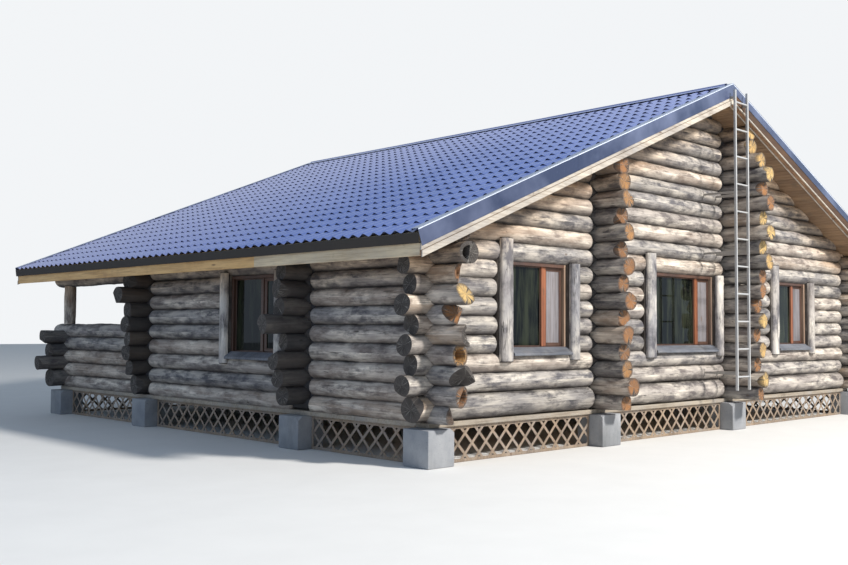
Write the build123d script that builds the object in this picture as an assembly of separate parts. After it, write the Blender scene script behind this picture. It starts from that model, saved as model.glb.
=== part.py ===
"""Log cabin with saddle-notched corners, a lattice skirting and a low gable roof.

Millimetres, +Z up.  The origin is on the ground, below the ridge, at mid length.
The front gable faces -Y, the long left wall faces -X and the terrace is at +Y.
While it is laid out, x starts at the outer face of the left wall and y at the
outer face of the front wall; place() moves every piece to the final frame.
"""
from build123d import *
import math
import os

os.makedirs("parts", exist_ok=True)

# Plan
HOUSE_W = 11530.0         # over the outer faces of the side walls
RIDGE_X = HOUSE_W / 2 + 435.0     # ridge, from the outer face of the left wall
HOUSE_L = 6880.0          # front face to the outer face of the terrace wall
TERRACE = 2990.0
FULL_L = HOUSE_L + TERRACE        # front face to the outer face of the terrace rail
WALL = 240.0              # wall thickness, round outside and hewn flat inside
CROSS_Y = 2500.0          # cross wall that shows in the long walls
CROSS_X = (RIDGE_X - 2814.0, RIDGE_X + 720.0)    # cross walls that show in the front

# Heights
BASE = 500.0              # ground to the underside of the lowest logs
COURSE = 236.0            # height of one course
HALF_LOG = 205.0          # the half log that starts the long walls
FLOOR_TOP = BASE + HALF_LOG
DECK_TOP = FLOOR_TOP - 20.0

# Logs
SIDES = 8                 # flats around a log, one of them up and one outward
LOG_R = COURSE / 2 / math.cos(math.pi / SIDES)
AXIS = COURSE / 2         # log axis, in from the outer face

# Roof
EAVE = 610.0              # left eave board, out from the left wall
VERGE_F = 490.0           # front verge board, out from the front wall
VERGE_R = 540.0           # rear verge board, out from the terrace rail
ROOF_L = VERGE_F + FULL_L + VERGE_R
SLOPE = 0.41              # rise over run
EAVE_Z = BASE + 1900.0    # underside of the eave board
SOFFIT = 20.0             # soffit boards above the underside of the verge boards
SOFFIT_T = 25.0
RAFTER_H = 230.0
SHEET_T = 30.0
VERGE_B = ROOF_L - VERGE_F
RUN = RIDGE_X + EAVE      # eave board to ridge


# Openings, x or y range and z range
WIN_Z = (BASE + 795.0, BASE + 1975.0)
SIDE_WIN_Z = (BASE + 677.0, BASE + 1857.0)
NARROW = 1190.0           # width of the narrower windows
FRONT_WINDOWS = ((CROSS_X[0] - 1936.0, CROSS_X[0] - 1936.0 + NARROW),
                 (CROSS_X[0] + 1314.0, CROSS_X[1] - 460.0),
                 (HOUSE_W - 2960.0, HOUSE_W - 2960.0 + NARROW))
SIDE_WINDOW = (CROSS_Y + 530.0, CROSS_Y + 530.0 + NARROW)
BACK_WINDOWS = (FRONT_WINDOWS[0], (RIDGE_X - 1900.0, RIDGE_X - 1900.0 + NARROW))
DOOR = (RIDGE_X + 1400.0, RIDGE_X + 2300.0)
DOOR_TOP = BASE + 2211.0

# Log end lengths past the wall face, from the ground up
ENDS_A = (190, 335, 205, 295, 190, 345, 220, 335, 260, 200)
ENDS_B = (300, 440, 580, 400, 530, 410, 525, 410, 540, 420, 420)
ENDS_C = (280, 370, 440, 290, 620, 370, 390, 330, 300, 280, 280)
ENDS_D = (150, 260, 320, 290, 340, 300, 470, 300, 280, 260)
ENDS_R = (280, 360, 240, 380, 260, 350, 230, 370, 250, 330, 250)
ENDS_E = (260, 500, 300, 420, 280, 300, 300, 300, 300, 320, 300)
ENDS_P2 = (420, 540, 430, 380, 460, 380, 500, 380, 470, 360, 480, 350, 460, 400, 380)
ENDS_P3 = (560, 640, 500, 600, 500, 630, 520, 610, 600, 720, 610, 765, 620, 765, 640,
           740, 600, 440, 420)

# Terrace steps
TREAD = 260.0
RISERS = 4
NOSING = 20.0

MID_Y = (FULL_L + (RISERS - 1) * TREAD + NOSING - max(ENDS_P3)) / 2.0


REACH = 2 * (HOUSE_W + FULL_L)    # longer than any piece


def place(shape):
    return shape.moved(Location((-RIDGE_X, -MID_Y, 0)))


def pick(lengths, i):
    return lengths[i % len(lengths)]


def prism(points, direction):
    return Solid.extrude(Face(Wire.make_polygon([Vector(*p) for p in points], close=True)),
                         Vector(*direction))


def box(x0, x1, y0, y1, z0, z1):
    return Solid.make_box(x1 - x0, y1 - y0, z1 - z0, Plane((x0, y0, z0)))


def fuse(shapes):
    shapes = list(shapes)
    if len(shapes) == 1:
        return shapes[0]
    out = shapes[0].fuse(*shapes[1:])
    return out.clean()


def solids(shape):
    if isinstance(shape, (list, tuple)):
        return [s for one in shape for s in solids(one)]
    return list(shape.solids())


def cut(shape, *tools):
    tools = [t for t in tools if t is not None]
    return shape.cut(*tools) if tools else shape


def export(name, shape):
    parts = [place(s) for s in solids(shape) if s.volume > 2000.0]
    whole = parts[0] if len(parts) == 1 else Compound(children=parts)
    whole.label = name
    export_step(whole, os.path.join("parts", name + ".step"))
    print(name, len(parts))


# Courses: logs along Y sit half a course lower than logs along X
def y_centre(j):
    return BASE + HALF_LOG + (j - 0.5) * COURSE


def x_centre(k):
    return BASE + HALF_LOG + k * COURSE


def log_profile(centre):
    """Round outside, flat inside: (depth from the outer face, z) from low to high."""
    angles = [math.pi * (2 * i - SIDES / 2 + 1) / SIDES for i in range(SIDES // 2)]
    out = [(AXIS - LOG_R * math.cos(a), centre + LOG_R * math.sin(a)) for a in angles]
    return out + [(WALL, out[-1][1]), (WALL, out[0][1])]


def sill_profile():
    """The thick log that starts the walls along x: its round face bulges lower."""
    high = x_centre(0) + COURSE / 2
    return [(66, BASE), (0, BASE + 98), (0, BASE + 225), (66, high), (WALL, high), (WALL, BASE)]


def above_base(shape, j):
    return shape.cut(box(-REACH, REACH, -REACH, REACH, 0, BASE)) if j == 0 else shape


def log_y(j, y0, y1, face, inward):
    pts = [(face + inward * d, y0, z) for d, z in log_profile(y_centre(j))]
    return above_base(prism(pts, (0, y1 - y0, 0)), j)


def log_x(k, x0, x1, face, inward):
    profile = sill_profile() if k == 0 else log_profile(x_centre(k))
    pts = [(x0, face + inward * d, z) for d, z in profile]
    return prism(pts, (x1 - x0, 0, 0))


def circle_points(radius, sides, turn=0.0):
    return [(radius * math.cos(2 * math.pi * (i + turn) / sides),
             radius * math.sin(2 * math.pi * (i + turn) / sides)) for i in range(sides)]


def end_y(j, y0, y1, xc):
    pts = [(xc + a, y0, y_centre(j) + b) for a, b in circle_points(LOG_R, SIDES, 0.5)]
    return above_base(prism(pts, (0, y1 - y0, 0)), j)


def end_x(k, x0, x1, yc):
    pts = [(x0, yc + a, x_centre(k) + b) for a, b in circle_points(LOG_R, SIDES, 0.5)]
    return prism(pts, (x1 - x0, 0, 0))


def post(x, y, z0, z1, radius=105.0):
    pts = [(x + a, y + b, z0) for a, b in circle_points(radius, SIDES, 0.5)]
    return prism(pts, (0, 0, z1 - z0))


# Roof planes
def verge_z(x):
    """Underside of the verge boards."""
    return EAVE_Z + SLOPE * (RUN - abs(x - RIDGE_X))


def under(x):
    """Underside of the soffit boards."""
    return verge_z(x) + SOFFIT


def gable_band(lo, hi, y0, y1, x_out, side):
    """Sloping layer of one roof half between two heights above the verge line."""
    x_end = RIDGE_X + side * x_out
    pts = [(RIDGE_X, y0, verge_z(RIDGE_X) + lo), (x_end, y0, verge_z(x_end) + lo),
           (x_end, y0, verge_z(x_end) + hi), (RIDGE_X, y0, verge_z(RIDGE_X) + hi)]
    return prism(pts, (0, y1 - y0, 0))


def roof_void():
    """Everything above the underside of the soffit boards."""
    ends = [RIDGE_X - REACH, RIDGE_X, RIDGE_X + REACH]
    pts = [(x, -REACH, under(x)) for x in ends]
    pts += [(ends[2], -REACH, REACH), (ends[0], -REACH, REACH)]
    return prism(pts, (0, 2 * REACH, 0))


VOID = roof_void()
RIGHT = HOUSE_W


def clip(shape):
    return shape.cut(VOID)


# Raw logs of every wall, before notching
def courses(centre, limit):
    """How many courses start below a height."""
    n = 0
    while centre(n) - COURSE / 2 < limit:
        n += 1
    return n


N_LEFT = courses(y_centre, under(WALL))
N_RIGHT = courses(y_centre, under(RIGHT - WALL))
N_X = courses(x_centre, under(RIDGE_X))
RAIL_COURSES = 5          # courses along y that run on round the terrace
LEDGE = 60.0              # full wall section kept past the terrace wall
PLATE = 9                 # courses of the front wall below the gable

left, right, front, back = {}, {}, {}, {}
for j in range(N_LEFT):
    length = FULL_L if (j < RAIL_COURSES or j >= N_LEFT - 2) else HOUSE_L + LEDGE
    tail = pick(ENDS_E, j) if length == FULL_L else 190.0
    left[j] = fuse([log_y(j, 0, length, 0, 1), end_y(j, -pick(ENDS_B, j), 0, AXIS),
                    end_y(j, length, length + tail, AXIS)])
for j in range(N_RIGHT):
    length = FULL_L if (j < RAIL_COURSES or j >= N_RIGHT - 3) else HOUSE_L + LEDGE
    right[j] = log_y(j, 0, length, RIGHT, -1)
    if y_centre(j) < under(RIGHT - AXIS):
        tail = pick(ENDS_E, j) if length == FULL_L else 190.0
        right[j] = fuse([right[j], end_y(j, -pick(ENDS_B, -1 - j), 0, RIGHT - AXIS),
                         end_y(j, length, length + tail, RIGHT - AXIS)])
for k in range(N_X):
    low = x_centre(k) - COURSE / 2
    reach = (under(RIDGE_X) - low) / SLOPE
    x0, x1 = max(0.0, RIDGE_X - reach - 5), min(RIGHT, RIDGE_X + reach + 5)
    pieces_f, pieces_b = [log_x(k, x0, x1, 0, 1)], [log_x(k, x0, x1, HOUSE_L, -1)]
    if x0 == 0.0:
        pieces_f.append(end_x(k, -pick(ENDS_A, k), 0, AXIS))
        pieces_b.append(end_x(k, -pick(ENDS_D, k), 0, HOUSE_L - AXIS))
    if x1 == RIGHT:
        pieces_f.append(end_x(k, RIGHT, RIGHT + pick(ENDS_R, k), AXIS))
        pieces_b.append(end_x(k, RIGHT, RIGHT + pick(ENDS_R, -1 - k), HOUSE_L - AXIS))
    front[k], back[k] = fuse(pieces_f), fuse(pieces_b)

rail = {k: fuse([log_x(k, 0, RIGHT, FULL_L, -1), end_x(k, -ENDS_E[k], 0, FULL_L - AXIS),
                 end_x(k, RIGHT, RIGHT + ENDS_E[k], FULL_L - AXIS)]) for k in (0, 1, 2, 3, 8)}
cross_left = {k: end_x(k, -pick(ENDS_C, k), WALL, CROSS_Y) for k in range(N_LEFT - 1)}
cross_right = {k: end_x(k, RIGHT - WALL, RIGHT + pick(ENDS_C, k), CROSS_Y)
               for k in range(N_RIGHT - 2)}
cross_2 = {j: end_y(j, -pick(ENDS_P2, j), WALL, CROSS_X[0])
           for j in range(courses(y_centre, under(CROSS_X[0]) - COURSE / 2))}
cross_3 = {j: end_y(j, -pick(ENDS_P3, j), WALL, CROSS_X[1])
           for j in range(courses(y_centre, under(CROSS_X[1]) - COURSE / 2))}


# Saddle notches: every log is scribed over the crossing log below it
def notch_x(logs, *crossing):
    return {k: cut(log, *[c.get(k) for c in crossing]) for k, log in logs.items()}


def notch_y(logs, *crossing):
    return {j: cut(log, *[c.get(j - 1) for c in crossing]) for j, log in logs.items()}


front_n = notch_x(front, left, right, cross_2, cross_3)
back_n = notch_x(back, left, right)
rail_n = notch_x(rail, left, right)
cross_left_n = notch_x(cross_left, left)
cross_right_n = notch_x(cross_right, right)
left_n = notch_y(left, front, back, rail, cross_left)
right_n = notch_y(right, front, back, rail, cross_right)
cross_2_n = notch_y(cross_2, front)
cross_3_n = notch_y(cross_3, front)


def wall(logs, keys):
    """One wall of logs, without the chips that the notches cut loose."""
    whole = clip(fuse([s for key in keys for s in solids(logs[key])]))
    kept = [s for s in whole.solids() if s.volume > 1.5e6]
    return kept[0] if len(kept) == 1 else Compound(children=kept)


# Purlins, flat on top to carry the roof
PURLIN_R = 110.0
PURLIN_X = (RIDGE_X - 2800.0, RIDGE_X, RIDGE_X + 2800.0)


def purlin_z(x):
    return under(x) - PURLIN_R / math.cos(math.atan(SLOPE)) + 15.0


def purlin(x):
    z = purlin_z(x)
    pts = [(x + a, WALL, z + b) for a, b in circle_points(PURLIN_R, SIDES, 0.5)]
    return clip(prism(pts, (0, VERGE_B - 120 - WALL, 0)))


purlins = [purlin(x) for x in PURLIN_X]


def window_box(x_range, z_range, y0=-200.0, y1=500.0):
    return box(x_range[0], x_range[1], y0, y1, z_range[0], z_range[1])


def side_box(y_range, z_range, x0, x1):
    return box(x0, x1, y_range[0], y_range[1], z_range[0], z_range[1])


front_wall = cut(wall(front_n, range(PLATE)), *[window_box(w, WIN_Z) for w in FRONT_WINDOWS])
front_gable = wall(front_n, range(PLATE, N_X))
back_wall = cut(wall(back_n, range(PLATE)),
                *[window_box(w, WIN_Z, HOUSE_L - 500, HOUSE_L + 200) for w in BACK_WINDOWS],
                box(DOOR[0], DOOR[1], HOUSE_L - 500, HOUSE_L + 500, FLOOR_TOP, DOOR_TOP))
back_gable = cut(wall(back_n, range(PLATE, N_X)), *purlins)
left_wall = cut(wall(left_n, range(N_LEFT)), side_box(SIDE_WINDOW, SIDE_WIN_Z, -300, 500))
right_wall = cut(wall(right_n, range(N_RIGHT)),
                 side_box(SIDE_WINDOW, SIDE_WIN_Z, RIGHT - 500, RIGHT + 300))
GATE = (RIDGE_X - 800.0, RIDGE_X + 800.0)   # way onto the terrace
terrace_rail = cut(wall(rail_n, (0, 1, 2, 3)), box(GATE[0], GATE[1], FULL_L - 500, FULL_L + 300,
                                                    DECK_TOP, DECK_TOP + 2000))
tie_beam = clip(rail_n[8])
export("front_wall", front_wall)
export("front_gable", front_gable)
export("left_wall", left_wall)
export("right_wall", right_wall)
export("terrace_wall", back_wall)
export("terrace_gable", back_gable)
export("terrace_rail", terrace_rail)
export("terrace_tie_beam", tie_beam)
export("cross_wall_ends_front", [wall(c, c) for c in (cross_2_n, cross_3_n)])
export("cross_wall_ends_left", wall(cross_left_n, cross_left_n))
export("cross_wall_ends_right", wall(cross_right_n, cross_right_n))
export("roof_purlins", purlins)

# Base: piers, sill planks, floor and deck
PIER = 430.0
SILL_T = 60.0
sill_z = BASE - SILL_T
inset = 20.0
ring = [box(inset, RIGHT - inset, inset, WALL - inset, sill_z, BASE),
        box(inset, RIGHT - inset, HOUSE_L - WALL + inset, HOUSE_L - inset, sill_z, BASE),
        box(inset, RIGHT - inset, FULL_L - WALL + inset, FULL_L - inset, sill_z, BASE),
        box(inset, WALL - inset, inset, FULL_L - inset, sill_z, BASE),
        box(RIGHT - WALL + inset, RIGHT - inset, inset, FULL_L - inset, sill_z, BASE)]
export("sill_planks", fuse(ring))

rows_y = (50.0, HOUSE_L - 320.0, FULL_L - PIER / 2)
pier_at = [(x, y) for y in rows_y for x in (50.0, CROSS_X[0], CROSS_X[1], RIGHT - 50.0)]
pier_at += [(50.0, CROSS_Y), (RIGHT - 50.0, CROSS_Y)]


def pier(x, y):
    return box(x - PIER / 2, x + PIER / 2, y - PIER / 2, y + PIER / 2, 0, sill_z)


piers = [pier(x, y) for x, y in pier_at]
export("foundation_piers", piers)

export("floor_boards", box(WALL, RIGHT - WALL, WALL, HOUSE_L - WALL, FLOOR_TOP - 45, FLOOR_TOP))
export("terrace_deck", box(WALL, RIGHT - WALL, HOUSE_L, FULL_L - WALL, DECK_TOP - 35, DECK_TOP))

# Lattice skirting
LATH = 34.0
LATH_T = 12.0
LATTICE_P = 1400.0        # main laths; finer ones lie between them


def lattice(length):
    """Panel in the x-z plane, thickness along +y, with a rail above and below."""
    rails = [box(0, length, 0, LATH_T, 0, 40), box(0, length, 0, LATH_T, sill_z - 40, sill_z)]
    rails += [box(0, 40, 0, LATH_T, 0, sill_z), box(length - 40, length, 0, LATH_T, 0, sill_z)]
    frame = box(0, length, 0, LATH_T, 0, sill_z)
    half = LATH * math.sqrt(2.0) / 2
    laths = []
    count = int(math.ceil((length + sill_z) / LATTICE_P)) + 1
    for i in range(count):
        foot = i * LATTICE_P + 120.0
        for lean in (1, -1):
            start = foot if lean < 0 else foot - sill_z
            end = start + lean * sill_z
            pts = [(start - half, 0, 0), (start + half, 0, 0),
                   (end + half, 0, sill_z), (end - half, 0, sill_z)]
            laths.append(prism(pts, (0, LATH_T, 0)))
    laths = [s for lath in laths for s in solids(lath.intersect(frame) or [])]
    return fuse(rails + laths)


def panel_x(x0, x1, y):
    return lattice(x1 - x0).moved(Location((x0, y, 0)))


def panel_y(y0, y1, x):
    return lattice(y1 - y0).moved(Location((x, y0, 0), (0, 0, 90)))


h = PIER / 2
xs = (50.0 + h, CROSS_X[0] - h, CROSS_X[0] + h, CROSS_X[1] - h, CROSS_X[1] + h, RIGHT - 50.0 - h)
front_panels = [panel_x(xs[i], xs[i + 1], 60.0) for i in (0, 2, 4)]
back_panels = [panel_x(xs[i], xs[i + 1], FULL_L - 72.0) for i in (0, 2, 4)]
ys = (rows_y[0] + h, CROSS_Y - h, CROSS_Y + h, rows_y[1] - h, rows_y[1] + h, rows_y[2] - h)
left_panels = [panel_y(ys[i], ys[i + 1], 72.0) for i in (0, 2, 4)]
right_panels = [panel_y(ys[i], ys[i + 1], RIGHT - 60.0) for i in (0, 2, 4)]
export("lattice_front", front_panels)
export("lattice_back", back_panels)
export("lattice_left", left_panels)
export("lattice_right", right_panels)

# Windows
FRAME_Y = (50.0, 200.0)
JAMB = 45.0


def window_frame(w0, w1, z0, z1, flip):
    """Fixed light and narrow vent, in x-z, outside towards -y."""
    y0, y1 = FRAME_Y
    ring = box(w0, w1, y0, y1, z0, z1).cut(box(w0 + JAMB, w1 - JAMB, y0 - 1, y1 + 1,
                                                z0 + 85, z1 - JAMB))
    vent = 380.0
    m = w1 - JAMB - vent if not flip else w0 + JAMB + vent
    side = 1 if not flip else -1
    mullion = box(min(m, m - side * 62), max(m, m - side * 62), y0 + 30, y1, z0 + 85, z1 - JAMB)
    v0, v1 = (m, w1 - JAMB) if not flip else (w0 + JAMB, m)
    sash = box(v0, v1, y0 + 45, y1 - 50, z0 + 85, z1 - JAMB)
    sash = sash.cut(box(v0 + 48, v1 - 48, y0, y1, z0 + 85 + 48, z1 - JAMB - 48))
    frame = fuse([ring, mullion, sash])
    f0, f1 = (w0 + JAMB, m - 62) if not flip else (m + 62, w1 - JAMB)
    gy = (y0 + 62, y0 + 74)
    glass = [box(f0, f1, gy[0], gy[1], z0 + 85, z1 - JAMB),
             box(v0 + 48, v1 - 48, gy[0], gy[1], z0 + 133, z1 - JAMB - 48)]
    return frame, glass


def sill_board(w0, w1, z0):
    pts = [(w0, FRAME_Y[0], z0), (w0, FRAME_Y[0], z0 + 80), (w0, -70.0, z0 + 5),
           (w0, -70.0, z0 - 30), (w0, 0.0, z0 - 6), (w0, 0.0, z0)]
    return prism(pts, (w1 - w0, 0, 0))


def casing(w0, w1, z0, z1):
    """Half-round post beside the opening, flat back on the logs."""
    w = w1 - w0
    prof = ((0, 0), (0, -28), (0.16, -66), (0.5, -84), (0.84, -66), (1, -28), (1, 0))
    return prism([(w0 + a * w, b, z0) for a, b in prof], (0, 0, z1 - z0))


frames, glasses, casings, sills = [], [], [], []


def trim_front(w0, w1):
    return ((w0 - 225, w0, 285), (w1, w1 + 190, 30))


def trim_side(w0, w1):
    return ((w0 - 170, w0, 60), (w1, w1 + 170, 60))


def add_window(w0, w1, z_range, spot, flip=False, trim=trim_front):
    z0, z1 = z_range
    frame, glass = window_frame(w0, w1, z0, z1, flip)
    frames.append(frame.moved(spot))
    glasses.extend(g.moved(spot) for g in glass)
    sills.append(sill_board(w0, w1, z0).moved(spot))
    for x0, x1, above in trim(w0, w1):
        casings.append(casing(x0, x1, z0 - 105, z1 + above).moved(spot))


for w in FRONT_WINDOWS:
    add_window(w[0], w[1], WIN_Z, Location((0, 0, 0)))
turn_left = Location((0, FULL_L, 0), (0, 0, -90))
turn_right = Location((RIGHT, 0, 0), (0, 0, 90))
turn_back = Location((RIGHT, HOUSE_L, 0), (0, 0, 180))
add_window(FULL_L - SIDE_WINDOW[1], FULL_L - SIDE_WINDOW[0], SIDE_WIN_Z, turn_left,
           trim=trim_side)
add_window(SIDE_WINDOW[0], SIDE_WINDOW[1], SIDE_WIN_Z, turn_right, True, trim_side)
for w in BACK_WINDOWS:
    add_window(RIGHT - w[1], RIGHT - w[0], WIN_Z, turn_back)
export("window_frames", frames)
export("window_glass", glasses)
export("window_casings", casings)
export("window_sills", sills)

# Terrace door, set in the wall
d0, d1 = RIGHT - DOOR[1], RIGHT - DOOR[0]
door_ring = box(d0, d1, 40, 200, FLOOR_TOP, DOOR_TOP).cut(
    box(d0 + 50, d1 - 50, 0, 300, FLOOR_TOP + 30, DOOR_TOP - 50))
export("door_frame", door_ring.moved(turn_back))
leaf = box(d0 + 50, d1 - 50, 90, 135, FLOOR_TOP + 30, DOOR_TOP - 50)
export("terrace_door", leaf.moved(turn_back))

# Terrace posts
tie_low = x_centre(8) - COURSE / 2
rail_top = x_centre(3) + COURSE / 2
deck_posts = [post(AXIS, FULL_L - AXIS, y_centre(4) + COURSE / 2, y_centre(8) - COURSE / 2),
              post(RIGHT - AXIS, FULL_L - AXIS, y_centre(4) + COURSE / 2, tie_low)]
for x in (PURLIN_X[0], GATE[0] - 105, GATE[1] + 105, PURLIN_X[2]):
    deck_posts.append(post(x, FULL_L - 120, rail_top, tie_low))
for x in PURLIN_X:
    deck_posts.append(post(x, FULL_L - 120, tie_low + COURSE,
                           purlin_z(x) - PURLIN_R * math.cos(math.pi / SIDES)))
export("terrace_posts", deck_posts)

# Roof
Y0, Y1 = -VERGE_F, VERGE_B
BOARD = 25.0
lo = SOFFIT
export("soffit_boards_left", gable_band(lo, lo + SOFFIT_T, Y0 + BOARD, Y1 - BOARD, RUN - BOARD, -1))
export("soffit_boards_right", gable_band(lo, lo + SOFFIT_T, Y0 + BOARD, Y1 - BOARD, RUN - BOARD, 1))
lo += SOFFIT_T
RAFTERS = 11
rafter_w = 50.0
step = (Y1 - Y0 - 2 * BOARD - rafter_w) / (RAFTERS - 1)
for side, name in ((-1, "rafters_left"), (1, "rafters_right")):
    rafter_y = [Y0 + BOARD + i * step for i in range(RAFTERS)]
    export(name, [gable_band(lo, lo + RAFTER_H, y, y + rafter_w, RUN - BOARD, side)
                  for y in rafter_y])
lo += RAFTER_H
EAVE_OUT = 50.0
export("roof_sheet_left", gable_band(lo, lo + SHEET_T, Y0, Y1, RUN + EAVE_OUT, -1))
export("roof_sheet_right", gable_band(lo, lo + SHEET_T, Y0, Y1, RUN + EAVE_OUT, 1))
sheet_low, sheet_top = lo, lo + SHEET_T


def eave_board(side, y0, y1):
    xa, xb = RIDGE_X + side * (RUN - BOARD), RIDGE_X + side * RUN
    pts = [(xa, y0, EAVE_Z), (xb, y0, EAVE_Z), (xb, y0, verge_z(xb) + sheet_low),
           (xa, y0, verge_z(xa) + sheet_low)]
    return prism(pts, (0, y1 - y0, 0))


def eave_flashing(side, y0, y1):
    """Bent sheet from the eave board out to the edge of the roof sheets."""
    xa, xb, xc = (RIDGE_X + side * (RUN + d) for d in (0, 30, 38))
    z = EAVE_Z + FASCIA_H
    pts = [(xa, y0, z), (xc, y0, z), (xc, y0, verge_z(xc) + sheet_low),
           (xb, y0, verge_z(xb) + sheet_low), (xb, y0, z + 8), (xa, y0, z + 8)]
    return prism(pts, (0, y1 - y0, 0))


JOINT_Y = 2700.0          # butt joint between the old and the new eave board
FASCIA_H = 140.0
export("eave_board_left_front", eave_board(-1, Y0 + BOARD, JOINT_Y))
export("eave_board_left_rear", eave_board(-1, JOINT_Y, Y1 - BOARD))
export("eave_board_right", eave_board(1, Y0 + BOARD, Y1 - BOARD))
export("eave_flashings", [eave_flashing(side, Y0, Y1) for side in (-1, 1)])


# The verge boards and flashings of the two slopes meet in a plumb joint below the ridge
DRIP_H = 57.0             # narrow board along the bottom of the verge
FLASH_LOW = 170.0
FLASH_T = 8.0
LIP = 110.0


def verge_board(side, y_face, out):
    """Board with a proud narrow one along its lower edge; out is -1 or 1."""
    back, proud = y_face - out * BOARD, y_face + out * 18.0
    return fuse([gable_band(0, sheet_low, min(back, y_face), max(back, y_face), RUN, side),
                 gable_band(0, DRIP_H, min(proud, y_face), max(proud, y_face), RUN, side)])


def verge_flashing(side, y_face, out):
    """Tall metal face on the verge with a lip over the sheets."""
    front = y_face + out * FLASH_T
    tip = y_face - out * LIP
    return fuse([gable_band(FLASH_LOW, sheet_top + 12, min(front, y_face), max(front, y_face),
                            RUN + EAVE_OUT, side),
                 gable_band(sheet_top, sheet_top + 12, min(front, tip), max(front, tip),
                            RUN + EAVE_OUT, side)])


for side, word in ((-1, "left"), (1, "right")):
    export("verge_boards_" + word, [verge_board(side, y, o) for y, o in ((Y0, -1), (Y1, 1))])
    export("verge_flashings_" + word,
           [verge_flashing(side, y, o) for y, o in ((Y0, -1), (Y1, 1))])


def ridge_cap(y0, y1, wing=165.0, roll=48.0):
    """Two sloping wings and a raised round bead over the ridge."""
    z = verge_z(RIDGE_X) + sheet_top
    drop = SLOPE * wing
    pts = [(-wing, -drop), (-wing, 10 - drop), (-roll, 10 - SLOPE * roll), (-roll * 0.75, 22),
           (-roll * 0.3, 34), (roll * 0.3, 34), (roll * 0.75, 22), (roll, 10 - SLOPE * roll),
           (wing, 10 - drop), (wing, -drop), (0, 0)]
    return prism([(RIDGE_X + a, y0, z + b) for a, b in pts], (0, y1 - y0, 0))


export("ridge_cap", ridge_cap(Y0 + LIP, Y1 - LIP))

# Roof ladder on the front gable
LADDER_X = RIDGE_X + 100.0
LADDER_W = 410.0
LADDER_Y = (Y0 - 100.0, Y0 - 60.0)
LADDER_TOP = BASE + 4880.0
LADDER_LOW = BASE + 180.0
RAIL = 30.0
RUNG_LOW, RUNG_STEP, RUNGS = BASE + 390.0, 430.0, 11

lx0, lx1 = LADDER_X - LADDER_W / 2, LADDER_X + LADDER_W / 2
rung_y = sum(LADDER_Y) / 2
ladder = [box(lx0, lx0 + RAIL, LADDER_Y[0], LADDER_Y[1], LADDER_LOW, LADDER_TOP),
          box(lx1 - RAIL, lx1, LADDER_Y[0], LADDER_Y[1], LADDER_LOW, LADDER_TOP)]
for i in range(RUNGS):
    z = RUNG_LOW + i * RUNG_STEP
    ladder.append(prism([(lx0, rung_y + a, z + b) for a, b in circle_points(14.0, 6, 0.5)],
                        (LADDER_W, 0, 0)))
export("roof_ladder", fuse(ladder))

arms = []
for x in (lx0, lx1 - RAIL):
    for k in (1, 9, 13):
        z = x_centre(k)
        arms.append(box(x, x + RAIL, LADDER_Y[1], 0, z - 18, z + 18))
    top = verge_z(x + RAIL / 2) + 85
    arms.append(box(x, x + RAIL, LADDER_Y[1], Y0, top, top + 40))
export("ladder_brackets", arms)

# Steps up to the terrace
rise = DECK_TOP / RISERS
gate = (GATE[0] + 150.0, GATE[1] - 150.0)
stringer = [(FULL_L, 0), (FULL_L + (RISERS - 1) * TREAD, 0)]
for i in range(RISERS - 1):
    y, z = FULL_L + (RISERS - 1 - i) * TREAD, (i + 1) * rise - 40
    stringer += [(y, z), (y - TREAD, z)]
steps = [prism([(x, y, z) for y, z in stringer], (50, 0, 0))
         for x in (gate[0], (gate[0] + gate[1]) / 2 - 25, gate[1] - 50)]
for i in range(RISERS - 1):
    y, z = FULL_L + (RISERS - 1 - i) * TREAD, (i + 1) * rise
    steps.append(box(gate[0] - 20, gate[1] + 20, y - TREAD, y + NOSING, z - 40, z))
export("terrace_steps", fuse(steps))
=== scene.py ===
import bpy
import bmesh
import math
import random
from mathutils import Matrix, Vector


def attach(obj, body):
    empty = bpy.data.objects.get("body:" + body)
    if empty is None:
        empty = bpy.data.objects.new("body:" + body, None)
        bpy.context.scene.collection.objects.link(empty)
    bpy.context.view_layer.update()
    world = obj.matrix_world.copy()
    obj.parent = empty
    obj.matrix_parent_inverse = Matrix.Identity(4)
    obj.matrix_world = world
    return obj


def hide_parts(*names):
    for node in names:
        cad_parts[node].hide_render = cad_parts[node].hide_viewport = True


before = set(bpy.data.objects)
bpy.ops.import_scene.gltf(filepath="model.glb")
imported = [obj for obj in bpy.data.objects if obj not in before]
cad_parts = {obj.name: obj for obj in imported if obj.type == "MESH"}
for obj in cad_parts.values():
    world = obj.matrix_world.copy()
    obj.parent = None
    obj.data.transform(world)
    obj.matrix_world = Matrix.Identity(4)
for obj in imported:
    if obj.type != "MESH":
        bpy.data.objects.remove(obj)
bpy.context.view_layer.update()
random.seed(7)

# The cabin is laid out from the outer corner of the left and the front wall, in
# metres, and each finished piece then moves by this much into the shared frame.
TO_FRAME = Vector((-6.2, -4.9525, 0.0))

RIDGE = 6.2                                    # ridge line, from the left wall
HOUSE_W, HOUSE_L, FULL_L = 11.53, 6.88, 9.87   # full length takes in the terrace
BASE, COURSE, HALF = 0.5, 0.236, 0.205         # foot of the logs, course, half a log
AXIS, LOG = 0.118, 0.126                       # middle of a log from its face, its radius
RUN, SLOPE, EAVE_Z = 6.81, 0.41, 2.4
SOFFIT, SOFFIT_T, RAFTER = 0.020, 0.025, 0.230
SHEET_LOW = SOFFIT + SOFFIT_T + RAFTER
VERGE_F, VERGE_B = -0.49, 10.41
CROSS_X, CROSS_Y = (3.386, 6.92), 2.5          # cross walls
WINDOWS = ((1.45, 2.64), (4.70, 6.46), (8.57, 9.76))
BACK_WINDOWS = ((1.45, 2.64), (4.30, 5.49))
SIDE_WINDOW = (3.03, 4.22)
WIN_Z, SIDE_WIN_Z = (1.295, 2.475), (1.177, 2.357)
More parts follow.
